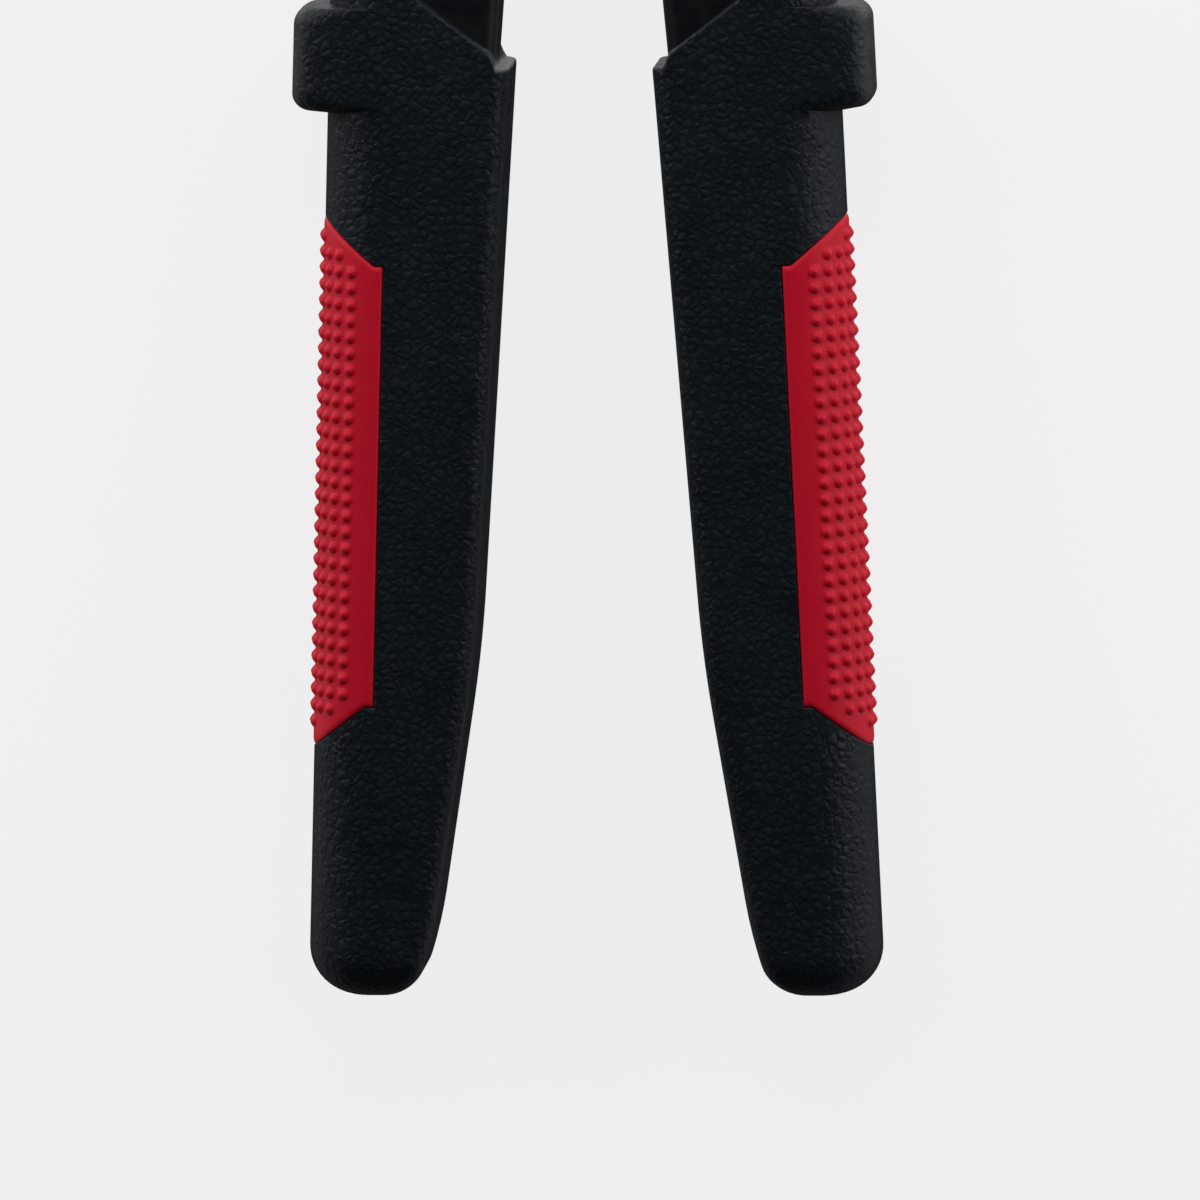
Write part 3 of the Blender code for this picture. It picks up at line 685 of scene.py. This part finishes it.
def inlay_mesh():
    """The red moulding: a shell over the grip's side with rounded edges and a field of rounded studs."""
    cell = STUD_CELL
    stud = 2 * STUD_PITCH / (GRIP_SIDE_ROUND + GRIP_HALF)
    first = (math.pi - stud * STUD_COLUMNS) / 2
    lip = INLAY_LIP / GRIP_SIDE_ROUND
    bands = [lip * share for share in INLAY_LIP_SHARES] + spread(lip, first, INLAY_BAND_STEPS)
    angles = bands + spread(first, first + stud * STUD_COLUMNS, cell * STUD_COLUMNS)
    angles += [math.pi - first] + [math.pi - angle for angle in reversed(bands)]
    field = len(bands)
    edge_rows = len(INLAY_LIP_SHARES)
    lowest, highest = INLAY_LOW - INLAY_TIP, INLAY_HIGH + INLAY_TIP
    rows = math.ceil((highest - lowest) / STUD_PITCH)
    heights = [lowest + STUD_PITCH * row / cell for row in range(rows * cell + 1)]

    shape = bmesh.new()
    grid, deep, limits = [], [], []
    for angle in angles:
        low, high = inlay_limits(angle)
        kept = [low + INLAY_LIP * share for share in INLAY_LIP_SHARES]
        kept += [min(high - INLAY_LIP, max(low + INLAY_LIP, height)) for height in heights]
        kept += [high - INLAY_LIP * share for share in reversed(INLAY_LIP_SHARES)]
        from_side = min(angle, math.pi - angle) * GRIP_SIDE_ROUND
        line = []
        for height in kept:
            near = min(from_side, height - low, high - height)
            line.append(shape.verts.new(side_point(height, angle, inlay_lift(near))))
        grid.append(line)
        deep.append([shape.verts.new(side_point(height, angle, -INLAY_DEPTH)) for height in (low, high)])
        limits.append((low + INLAY_LIP, high - INLAY_LIP))

    studs = set()
    for column in range(STUD_COLUMNS):
        for row in range(rows):
            start, end = heights[row * cell], heights[row * cell + cell]
            reach = [limits[field + column * cell + step] for step in range(cell + 1)]
            if all(low <= start and end <= high for low, high in reach):
                studs.add((column, row))

    for i in range(len(angles) - 1):
        for k in range(len(grid[0]) - 1):
            column, row = (i - field) // cell, (k - edge_rows) // cell
            if (column, row) not in studs:
                shape.faces.new((grid[i][k], grid[i + 1][k], grid[i + 1][k + 1], grid[i][k + 1]))
        shape.faces.new((deep[i][1], deep[i + 1][1], deep[i + 1][0], deep[i][0]))
        shape.faces.new((deep[i][0], deep[i + 1][0], grid[i + 1][0], grid[i][0]))
        shape.faces.new((deep[i][1], deep[i + 1][1], grid[i + 1][-1], grid[i][-1]))
    for i in (0, -1):
        shape.faces.new([deep[i][0], *grid[i], deep[i][1]])
    for column, row in sorted(studs):
        i = field + column * cell
        middle_angle = (angles[i] + angles[i + cell]) / 2
        middle_height = heights[row * cell] + STUD_PITCH / 2
        add_stud(shape, square_rim(grid, i, edge_rows + row * cell), middle_angle, middle_height)
    return mesh_from(shape, "inlay")


def square_rim(grid, i, k):
    """The vertices round one stud's square of the grid, from its corner at i and k."""
    steps = range(STUD_CELL)
    rim = [grid[i + step][k] for step in steps]
    rim += [grid[i + STUD_CELL][k + step] for step in steps]
    rim += [grid[i + STUD_CELL - step][k + STUD_CELL] for step in steps]
    rim += [grid[i][k + STUD_CELL - step] for step in steps]
    return rim


def add_stud(shape, rim, middle_angle, middle_height):
    """One rounded stud, grown out of the rim of its square."""
    sides = len(rim)
    rings = [rim]
    for ring in range(STUD_RINGS):
        share = 1 - ring / STUD_RINGS
        radius = STUD_BASE * share
        rise = STUD_HEIGHT * (1 - share**STUD_FULLNESS) ** STUD_SOFTNESS
        points = []
        for step in range(sides):
            turn = 2 * math.pi * step / sides - 3 * math.pi / 4
            angle = middle_angle + radius * math.cos(turn) / GRIP_SIDE_ROUND
            height = middle_height + radius * math.sin(turn)
            points.append(shape.verts.new(side_point(height, angle, INLAY_PROUD + rise)))
        rings.append(points)
    top = shape.verts.new(side_point(middle_height, middle_angle, INLAY_PROUD + STUD_HEIGHT))
    for low, high in zip(rings, rings[1:]):
        for step in range(sides):
            after = (step + 1) % sides
            shape.faces.new((low[step], low[after], high[after], high[step]))
    for step in range(sides):
        shape.faces.new((rings[-1][step], rings[-1][(step + 1) % sides], top))


# Pivot hardware


def bolt_mesh():
    """The pivot bolt: a low crowned head with a hexagon socket, over a plain shank."""
    top = HEAD_SEAT + BOLT_HEAD_HEIGHT
    foot = -(HEAD_SEAT + NUT_HEIGHT + CLEARANCE)
    side = top - BOLT_HEAD_CROWN
    profile = [(BOLT_RADIUS - NUT_CHAMFER, foot), (BOLT_RADIUS, foot + NUT_CHAMFER), (BOLT_RADIUS, HEAD_SEAT)]
    profile += [(BOLT_HEAD_RADIUS, HEAD_SEAT), (BOLT_HEAD_RADIUS, side)]
    for step in range(1, CROWN_STEPS - CROWN_FLAT_STEPS + 1):
        angle = math.pi / 2 * step / CROWN_STEPS
        profile.append((BOLT_HEAD_RADIUS * math.cos(angle), side + BOLT_HEAD_CROWN * math.sin(angle)))
    corner = SOCKET_FLATS / math.sqrt(3)
    socket = [(corner, top - SOCKET_DEPTH), (corner, top - SOCKET_LEAD)]
    socket.append((corner + SOCKET_LEAD_OUT, top + SOCKET_LEAD_UP))
    return combine(turned(profile, "bolt"), turned(socket, "socket", steps=HEXAGON_STEPS), "DIFFERENCE")


def nut_mesh():
    """The thin lock nut under the joint, its hexagon chamfered at both ends."""
    top = -HEAD_SEAT
    foot = top - NUT_HEIGHT
    corner = NUT_FLATS / math.sqrt(3)
    flat = NUT_FLATS / 2
    outside = ((flat, foot), (flat + NUT_CHAMFER * 2, foot + NUT_CHAMFER))
    outside += tuple((radius, foot + top - height) for radius, height in reversed(outside))
    hexagon = turned(((corner, foot), (corner, top)), "nut", steps=HEXAGON_STEPS)
    nut = combine(hexagon, turned(outside, "chamfers"), "INTERSECT")
    hole = [(BORE + NUT_LEAD, foot - MERGE), (BORE, foot + NUT_LEAD)]
    hole += [(BORE, top - NUT_LEAD), (BORE + NUT_LEAD, top + MERGE)]
    return combine(nut, turned(hole, "hole"), "DIFFERENCE")


def washer_mesh():
    """One washer, as it lies between the boss and the bolt's head."""
    low = JOINT_HALF + CLEARANCE
    high = low + WASHER_THICKNESS
    corners = [(BORE, low), (WASHER_RADIUS, low), (WASHER_RADIUS, high), (BORE, high)]
    roundings = (WASHER_BORE_ROUND, WASHER_ROUND, WASHER_ROUND, WASHER_BORE_ROUND)
    return turned(rounded_profile(corners, roundings, WASHER_STEPS), "washer", closed=True)


# Materials

# Range that most values of a noise lie in
NOISE_SPAN = (0.3, 0.7)
# Cosines between the plain and the rounded normal, on an open face and at a worn edge
EDGE_SPAN = (0.995, 0.80)
EDGE_SAMPLES = 6

# Black moulding: its colours, with the colour of the painted shade in the grain's creases and of the painted
# highlights on the mouth's inner lip and the guard's outer side
MOULDING_COLOURS = (0.0056, 0.0091, 0.0122), (0.0091, 0.0135, 0.0175)
CREASE_SHADOW_COLOUR = (0.0018, 0.0028, 0.0038)
LIP_HIGHLIGHT_COLOUR = (0.11, 0.11, 0.11)
GUARD_HIGHLIGHT_COLOUR = (0.031, 0.030, 0.029)
# Sizes of its clouds and grain, the depth of the whole grain, and the weight of each layer
MOULDING_CLOUDS = 11 * MM
MOULDING_WANDER = 2.6 * MM
GRAIN_CELL = 1.40 * MM
GRAIN_WOBBLE, GRAIN_WOBBLE_REACH = 1.1 * MM, 0.9 * MM
GRAIN_CREASE = 0.38
GRAIN_SWELL = 1.5 * MM
GRAIN_PORE = 0.45 * MM
GRAIN_DEPTH = 0.19 * MM
CELL_WEIGHT, SWELL_WEIGHT, PORE_WEIGHT = 0.45, 0.9, 0.12
# How strongly the grain's creases are darkened with painted shade
CREASE_SHADOW_WEIGHT = 0.5
# Where a highlight is painted, measured off the mouth's inner lip, and where another highlight is painted,
# measured off the guard's side and foot
LIP_HIGHLIGHT_ACROSS = (0.1 * MM, 0.5 * MM)
LIP_HIGHLIGHT_ALONG = (-0.8 * MM, -0.1 * MM)
LIP_HIGHLIGHT_MIDDLE = 1 * MM
LIP_HIGHLIGHT_PATCHES = (0.2, 0.6, 0.3, 1.0)
GUARD_HIGHLIGHT_ACROSS = (-3.2 * MM, -0.6 * MM)
GUARD_HIGHLIGHT_ALONG = 2.5 * MM
GUARD_HIGHLIGHT_LEAST = 0.5
MOULDING_ROUGH = (0.36, 0.48)
MOULDING_SPECULAR = 0.14

# Red moulding
RED_COLOURS = (0.45, 0.0044, 0.0185), (0.52, 0.0058, 0.0225)
RED_CLOUDS = 9 * MM
RED_SHEEN = 1.2 * MM
RED_SPECK, RED_SPECK_DEPTH = 0.35 * MM, 0.03 * MM
RED_ROUGH = (0.40, 0.52)

# Black steel
STEEL_COLOURS = (0.0018, 0.0032, 0.0040), (0.0036, 0.0054, 0.0066)
STEEL_WORN = (0.16, 0.155, 0.15)
STEEL_WORN_COLOUR, STEEL_WORN_METAL = 0.55, 0.6
STEEL_EDGE = 0.6 * MM
STEEL_WEAR, STEEL_WEAR_SPAN = 4 * MM, (0.42, 0.62)
FORGED, FORGED_DEPTH = 3.2 * MM, 0.12 * MM
FORGED_FINE, FORGED_FINE_DEPTH = 0.5 * MM, 0.02 * MM
STEEL_ROUGH = (0.36, 0.50)
STEEL_SPECULAR = 0.20
# The ground band along its cutting edge, with lines that run level across the jaws
GROUND_COLOURS = (0.25, 0.25, 0.26), (0.46, 0.46, 0.47)
GROUND_WIDTH, GROUND_FADE = 5.0 * MM, 0.35 * MM
GROUND_WAVE, GROUND_WAVE_REACH = 9 * MM, 0.6 * MM
GROUND_LINE, GROUND_LINE_DEPTH = 0.5 * MM, 0.02 * MM
GROUND_STRETCH = (0.05, 0.05, 1.1)
GROUND_ROUGH = (0.38, 0.24)

# Bright steel
PLATED_COLOURS = (0.36, 0.36, 0.37), (0.47, 0.47, 0.475)
PLATED_WORN, PLATED_WORN_SHARE = (0.62, 0.62, 0.62), 0.5
PLATED_EDGE = 0.35 * MM
PLATED_CLOUDS = 5 * MM
PLATED_RING, PLATED_RING_DEPTH = 0.22 * MM, 0.02 * MM
PLATED_ROUGH = (0.24, 0.38)


class Finish:
    """The nodes of a material, or of the world, under construction."""

    def __init__(self, owner, shader="Principled BSDF", coordinates="Object"):
        self.owner = owner
        owner.use_nodes = True
        self.tree = owner.node_tree
        self.shader = self.tree.nodes[shader]
        self.place = self.node("ShaderNodeTexCoord").outputs[coordinates]

    def node(self, kind, **settings):
        """A new node with its settings."""
        made = self.tree.nodes.new(kind)
        for key, value in settings.items():
            setattr(made, key, value)
        return made

    def feed(self, socket, value):
        """Link a socket to another, or set it to a plain value."""
        if isinstance(value, bpy.types.NodeSocket):
            self.tree.links.new(value, socket)
        else:
            socket.default_value = value

    def axes(self):
        """The place's X, Y and Z."""
        made = self.node("ShaderNodeSeparateXYZ")
        self.feed(made.inputs[0], self.place)
        return made.outputs

    def operate(self, kind, operation, first, second):
        made = self.node(kind, operation=operation)
        self.feed(made.inputs[0], first)
        self.feed(made.inputs[1], second)
        return made.outputs

    def math(self, operation, first, second=0.0):
        return self.operate("ShaderNodeMath", operation, first, second)["Value"]

    def vector(self, operation, first, second):
        return self.operate("ShaderNodeVectorMath", operation, first, second)["Vector"]

    def times(self, first, *others):
        """The product of two or more values."""
        for other in others:
            first = self.math("MULTIPLY", first, other)
        return first

    def texture(self, kind, size, place=None, **settings):
        """A texture node whose features are about size metres across."""
        made = self.node(kind, **settings)
        self.feed(made.inputs["Vector"], place or self.place)
        made.inputs["Scale"].default_value = 1 / size
        return made

    def noise(self, size, detail=2.0, roughness=0.5, place=None):
        made = self.texture("ShaderNodeTexNoise", size, place)
        made.inputs["Detail"].default_value = detail
        made.inputs["Roughness"].default_value = roughness
        return made.outputs["Fac"]

    def wobbled(self, size, reach):
        """The place pushed about by noise."""
        push = self.texture("ShaderNodeTexNoise", size).outputs["Color"]
        return self.vector("ADD", self.place, self.vector("MULTIPLY", push, (reach,) * 3))

    def creases(self, size, place):
        """Distance from the creases between cells."""
        cells = self.texture("ShaderNodeTexVoronoi", size, place, feature="DISTANCE_TO_EDGE")
        return cells.outputs["Distance"]

    def span(self, value, low, high, to_low=0.0, to_high=1.0, soft=False):
        """The value's range low to high, moved to another."""
        made = self.node("ShaderNodeMapRange", interpolation_type="SMOOTHSTEP" if soft else "LINEAR")
        for socket, given in zip(made.inputs, (value, low, high, to_low, to_high)):
            self.feed(socket, given)
        return made.outputs["Result"]

    def even(self, noise, to_low=0.0, to_high=1.0):
        """A noise's range moved to another."""
        return self.span(noise, *NOISE_SPAN, to_low, to_high)

    def between(self, kind, share, start, end):
        """A value between two by a share: a colour for the socket kind RGBA, a number for VALUE."""
        made = self.node("ShaderNodeMix", data_type="FLOAT" if kind == "VALUE" else kind)
        self.feed(made.inputs["Factor"], share)
        for name, value in (("A", start), ("B", end)):
            self.feed(next(s for s in made.inputs if s.name == name and s.type == kind), value)
        return next(s for s in made.outputs if s.type == kind)

    def tint(self, share, start, end):
        """A colour between two, by a share."""
        colours = [c if isinstance(c, bpy.types.NodeSocket) else (*c, 1) for c in (start, end)]
        return self.between("RGBA", share, *colours)

    def bump(self, height, depth, strength=1.0, under=None):
        made = self.node("ShaderNodeBump")
        self.feed(made.inputs["Height"], height)
        made.inputs["Distance"].default_value = depth
        made.inputs["Strength"].default_value = strength
        if under is not None:
            self.feed(made.inputs["Normal"], under)
        return made.outputs["Normal"]

    def edges(self, radius):
        """1 along worn edges, 0 on open faces."""
        rounded = self.node("ShaderNodeBevel", samples=EDGE_SAMPLES)
        rounded.inputs["Radius"].default_value = radius
        plain = self.node("ShaderNodeNewGeometry").outputs["Normal"]
        likeness = self.operate("ShaderNodeVectorMath", "DOT_PRODUCT", rounded.outputs["Normal"], plain)
        return self.span(likeness["Value"], *EDGE_SPAN, soft=True)

    def done(self, **values):
        """The material or world, with its shader's inputs set or linked."""
        for name, value in values.items():
            self.feed(self.shader.inputs[name.replace("_", " ")], value)
        return self.owner


def black_moulding():
    """Black plastic with a leather grain, with painted shade in its creases and painted highlights on the
    mouth's lip and on the guard.
    """
    finish = Finish(bpy.data.materials.new("black_moulding"))
    x, y, _ = finish.axes()
    wander = finish.noise(MOULDING_WANDER, detail=1)

    creases = finish.creases(GRAIN_CELL, finish.wobbled(GRAIN_WOBBLE, GRAIN_WOBBLE_REACH))
    tops = finish.span(creases, 0.0, GRAIN_CREASE, soft=True)
    swell = finish.times(finish.noise(GRAIN_SWELL), SWELL_WEIGHT)
    grain = finish.math("ADD", finish.times(tops, CELL_WEIGHT), swell)
    grain = finish.math("ADD", grain, finish.times(finish.noise(GRAIN_PORE), PORE_WEIGHT))
    normal = finish.bump(grain, GRAIN_DEPTH)

    cloudy = finish.even(finish.noise(MOULDING_CLOUDS, detail=3))
    colour = finish.tint(cloudy, *MOULDING_COLOURS)
    # Painted shade: the grain's creases are darkened in colour
    colour = finish.tint(finish.span(tops, 0.0, 1.0, CREASE_SHADOW_WEIGHT, 0.0), colour, CREASE_SHADOW_COLOUR)

    foot = -(GRIP_INNER_MOUTH + GRIP_INNER_WALL)
    lip = PIVOT.y - HANDLE_REACH + GRIP_MOUTH
    # Painted highlight: a pale patch on the mouth's inner lip
    lip_highlight = finish.times(
        finish.span(x, *(foot + off for off in LIP_HIGHLIGHT_ACROSS), soft=True),
        finish.span(y, *(lip + off for off in LIP_HIGHLIGHT_ALONG), soft=True),
        finish.span(wander, *LIP_HIGHLIGHT_PATCHES),
        finish.span(x, LIP_HIGHLIGHT_MIDDLE, 0.0),
    )
    colour = finish.tint(lip_highlight, colour, LIP_HIGHLIGHT_COLOUR)

    guard_side = grip_outer(GUARD_LOW) + GUARD_REACH
    guard_foot = PIVOT.y - HANDLE_REACH + GUARD_LOW
    # Painted highlight: the guard's outer side is lightened in colour from its foot up
    guard_highlight = finish.times(
        finish.span(finish.math("ABSOLUTE", x), *(guard_side + off for off in GUARD_HIGHLIGHT_ACROSS), soft=True),
        finish.span(y, guard_foot, guard_foot + GUARD_HIGHLIGHT_ALONG, soft=True),
        finish.even(wander, GUARD_HIGHLIGHT_LEAST, 1.0),
    )
    colour = finish.tint(guard_highlight, colour, GUARD_HIGHLIGHT_COLOUR)
    rough = finish.even(wander, *MOULDING_ROUGH)
    return finish.done(
        Base_Color=colour, Roughness=rough, Normal=normal, Specular_IOR_Level=MOULDING_SPECULAR
    )


def red_moulding():
    """Soft red plastic, satin, with slight clouds and a fine speck."""
    finish = Finish(bpy.data.materials.new("red_moulding"))
    colour = finish.tint(finish.noise(RED_CLOUDS, detail=3), *RED_COLOURS)
    rough = finish.even(finish.noise(RED_SHEEN), *RED_ROUGH)
    normal = finish.bump(finish.noise(RED_SPECK), RED_SPECK_DEPTH, strength=0.5)
    return finish.done(
        Base_Color=colour, Roughness=rough, Normal=normal, Specular_IOR_Level=MOULDING_SPECULAR
    )


def black_steel():
    """Forged steel with a black finish, ground bright at the cutting edge and worn along its edges."""
    finish = Finish(bpy.data.materials.new("black_steel"))
    _, y, _ = finish.axes()
    scale = finish.noise(FORGED, detail=4, roughness=0.6)
    wear = finish.span(finish.noise(STEEL_WEAR, detail=3), *STEEL_WEAR_SPAN, soft=True)
    worn = finish.times(finish.edges(STEEL_EDGE), wear)

    start = (JAW_REACH + PIVOT.y) - GROUND_WIDTH
    wave = finish.times(finish.noise(GROUND_WAVE, detail=1), GROUND_WAVE_REACH)
    ground = finish.span(finish.math("ADD", y, wave), start, start + GROUND_FADE, soft=True)
    stretched = finish.vector("MULTIPLY", finish.place, GROUND_STRETCH)
    lines = finish.even(finish.noise(GROUND_LINE, detail=3, place=stretched))

    dark = finish.tint(scale, *STEEL_COLOURS)
    bare = finish.tint(lines, *GROUND_COLOURS)
    colour = finish.tint(finish.times(worn, STEEL_WORN_COLOUR), dark, STEEL_WORN)
    colour = finish.tint(ground, colour, bare)
    rough_bare = finish.span(lines, 0.0, 1.0, *GROUND_ROUGH)
    rough = finish.between("VALUE", ground, finish.even(scale, *STEEL_ROUGH), rough_bare)
    normal = finish.bump(scale, FORGED_DEPTH, strength=0.5)
    normal = finish.bump(finish.noise(FORGED_FINE), FORGED_FINE_DEPTH, strength=0.4, under=normal)
    normal = finish.bump(finish.times(lines, ground), GROUND_LINE_DEPTH, strength=0.6, under=normal)
    metal = finish.math("MAXIMUM", ground, finish.times(worn, STEEL_WORN_METAL))
    return finish.done(
        Base_Color=colour, Roughness=rough, Normal=normal, Metallic=metal, Specular_IOR_Level=STEEL_SPECULAR
    )


def bright_steel():
    """Turned and plated steel with fine rings about the bolt's axis."""
    finish = Finish(bpy.data.materials.new("bright_steel"))
    x, y, _ = finish.axes()
    off = finish.math("SUBTRACT", y, PIVOT.y)
    squares = finish.math("ADD", finish.times(x, x), finish.times(off, off))
    made = finish.node("ShaderNodeTexNoise", noise_dimensions="1D")
    finish.feed(made.inputs["W"], finish.math("SQRT", squares))
    made.inputs["Scale"].default_value = 1 / PLATED_RING
    rings = made.outputs["Fac"]
    colour = finish.tint(finish.noise(PLATED_CLOUDS, detail=3), *PLATED_COLOURS)
    colour = finish.tint(finish.times(finish.edges(PLATED_EDGE), PLATED_WORN_SHARE), colour, PLATED_WORN)
    rough = finish.even(rings, *PLATED_ROUGH)
    normal = finish.bump(rings, PLATED_RING_DEPTH, strength=0.5)
    return finish.done(Base_Color=colour, Roughness=rough, Normal=normal, Metallic=1.0)


# Pieces

# Angles above which an edge is drawn sharp
PLAIN_SHARP = math.radians(40)
ARM_SHARP = math.radians(32)
MOULDING_SHARP = math.radians(50)
NUT_SHARP = math.radians(25)


def set_down(name, mesh, body, node, material, half_turn, sharp):
    """A finished piece on its body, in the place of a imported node."""
    mesh = mesh.copy()
    mesh.name = name
    mesh.transform(Matrix.Translation(PIVOT) @ (HALF_TURN if half_turn else Matrix.Identity(4)))
    mesh.materials.clear()
    mesh.materials.append(material)
    mesh.shade_smooth()
    mesh.set_sharp_from_angle(angle=sharp)
    piece = bpy.data.objects.new(name, mesh)
    bpy.context.scene.collection.objects.link(piece)
    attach(piece, body)
    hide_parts(node)


def make_pieces():
    steel, bright, black, red = black_steel(), bright_steel(), black_moulding(), red_moulding()
    arm, grip, inlay, washer = arm_mesh(), grip_mesh(), inlay_mesh(), washer_mesh()
    for side, turn in (("left", False), ("right", True)):
        body = f"{side}_side"
        pieces = (
            ("arm_forging", arm, "arm", "black_steel", steel, ARM_SHARP),
            ("grip_moulding", grip, "grip", "black_moulding", black, MOULDING_SHARP),
            ("studded_inlay", inlay, "grip_inlay", "red_moulding", red, MOULDING_SHARP),
        )
        for name, mesh, node, slot, material, sharp in pieces:
            set_down(f"{side}_{name}", mesh, body, f"{side}_{node}", material, turn, sharp)
    hardware = (
        ("pivot_bolt_turned", bolt_mesh(), "pivot_bolt", False, PLAIN_SHARP),
        ("pivot_nut_milled", nut_mesh(), "pivot_nut", False, NUT_SHARP),
        ("top_washer_pressed", washer, "top_washer", False, PLAIN_SHARP),
        ("bottom_washer_pressed", washer, "bottom_washer", True, PLAIN_SHARP),
    )
    for name, mesh, node, turn, sharp in hardware:
        set_down(name, mesh, "left_side", node, bright, turn, sharp)


# Stage, light and camera

FLOOR_SIZE = 4.0
FLOOR_DROP = 0.05 * MM
FLOOR_COLOUR = (0.10, 0.10, 0.10, 1)
FLOOR_ROUGHNESS = 0.9
FLOOR_GLOW = 0.815
WHITE = (1, 1, 1, 1)

LIGHT_SPREAD = math.radians(140)
LIGHT_AIM = Vector((0, -0.07, 0.015))
# Place, size and power of each lamp
LIGHTS = {
    "left_softbox": ((-0.70, 0.36, 0.28), (0.7, 0.7), 2.95),
    "right_softbox": ((0.72, 0.22, 0.28), (0.8, 0.6), 2.50),
    "head_softbox": ((0, 0.80, 0.24), (1.0, 0.3), 0.98),
    "top_softbox": ((0, 0.42, 0.44), (0.6, 0.25), 1.00),
}

# Fades of the world's brightness along a direction's axis: from and to, with the strength at both
WALL_UPPER = ("Z", -0.15, 0.40, 1.0, 0.06)
WALL_LOWER = ("Z", -0.95, -0.42, 0.0, 1.0)
WALL_SIDE = ("X", -0.9, 0.9, 0.40, 0.62)
WALL_NEAR = ("Y", -0.9, -0.25, 0.2, 1.0)
AHEAD_FAR = ("Y", 0.0, 0.35, 0.0, 1.1)
AHEAD_LOW = ("Z", -0.20, 0.10, 1.0, 0.0)

VIEW_CENTRE = Vector((1.25 * MM, -90.4 * MM, JAW_HALF))
VIEW_WIDTH = 180 * MM
VIEW_DISTANCE = 2.4
VIEW_SIDEWAYS = math.radians(5.0)
VIEW_FROM_HEAD = math.radians(8.5)
VIEW_ROLL = math.asin(0.01375)
SENSOR_WIDTH = 36
CLIP_END = 100


def make_floor():
    mesh = bpy.data.meshes.new("floor")
    half = FLOOR_SIZE / 2
    plan = ((-half, -half), (half, -half), (half, half), (-half, half))
    mesh.from_pydata([(across, along, -FLOOR_DROP) for across, along in plan], [], [(0, 1, 2, 3)])
    finish = Finish(bpy.data.materials.new("floor"))
    finish.done(Base_Color=FLOOR_COLOUR, Roughness=FLOOR_ROUGHNESS, Specular_IOR_Level=0.0)
    mesh.materials.append(finish.done(Emission_Color=WHITE, Emission_Strength=FLOOR_GLOW))
    floor = bpy.data.objects.new("floor", mesh)
    bpy.context.scene.collection.objects.link(floor)
    floor.visible_glossy = False


def make_light(name, where, size, power):
    lamp = bpy.data.lights.new(name, "AREA")
    lamp.shape = "RECTANGLE"
    lamp.size, lamp.size_y = size
    lamp.energy = power
    lamp.spread = LIGHT_SPREAD
    obj = bpy.data.objects.new(name, lamp)
    obj.location = where
    obj.rotation_euler = (LIGHT_AIM - Vector(where)).to_track_quat("-Z", "Y").to_euler()
    obj.visible_camera = False
    bpy.context.scene.collection.objects.link(obj)


def make_world():
    """Dim studio walls: a paler band a little below the eye line, brighter on the right and ahead."""
    studio = Finish(bpy.data.worlds.new("studio"), "Background", "Generated")
    axes = studio.axes()

    def fade(axis, *values):
        return studio.span(axes[axis], *values, soft=True)

    band = studio.times(fade(*WALL_UPPER), fade(*WALL_LOWER))
    walls = studio.times(band, studio.times(fade(*WALL_SIDE), fade(*WALL_NEAR)))
    ahead = studio.times(fade(*AHEAD_FAR), fade(*AHEAD_LOW))
    bpy.context.scene.world = studio.done(Color=WHITE, Strength=studio.math("ADD", walls, ahead))


def make_camera():
    """The photograph's view: from above, a little sideways and from the head's end, with a small roll."""
    lens = bpy.data.cameras.new("camera")
    lens.sensor_width = SENSOR_WIDTH
    lens.lens = SENSOR_WIDTH * VIEW_DISTANCE / VIEW_WIDTH
    lens.clip_end = CLIP_END
    back = Vector((math.tan(VIEW_SIDEWAYS), math.tan(VIEW_FROM_HEAD), 1)).normalized()
    along = Vector((0, 1, 0))
    up = (along - back * along.dot(back)).normalized()
    right = up.cross(back)
    turned_right = right * math.cos(VIEW_ROLL) - up * math.sin(VIEW_ROLL)
    turned_up = up * math.cos(VIEW_ROLL) + right * math.sin(VIEW_ROLL)
    camera = bpy.data.objects.new("camera", lens)
    turn = Matrix((turned_right, turned_up, back)).transposed().to_4x4()
    camera.matrix_world = Matrix.Translation(VIEW_CENTRE + back * VIEW_DISTANCE) @ turn
    bpy.context.scene.collection.objects.link(camera)
    bpy.context.scene.camera = camera


make_camera()
make_pieces()
make_floor()
make_world()
for light, (where, size, power) in LIGHTS.items():
    make_light(light, where, size, power)
bpy.context.scene.view_settings.view_transform = "Standard"
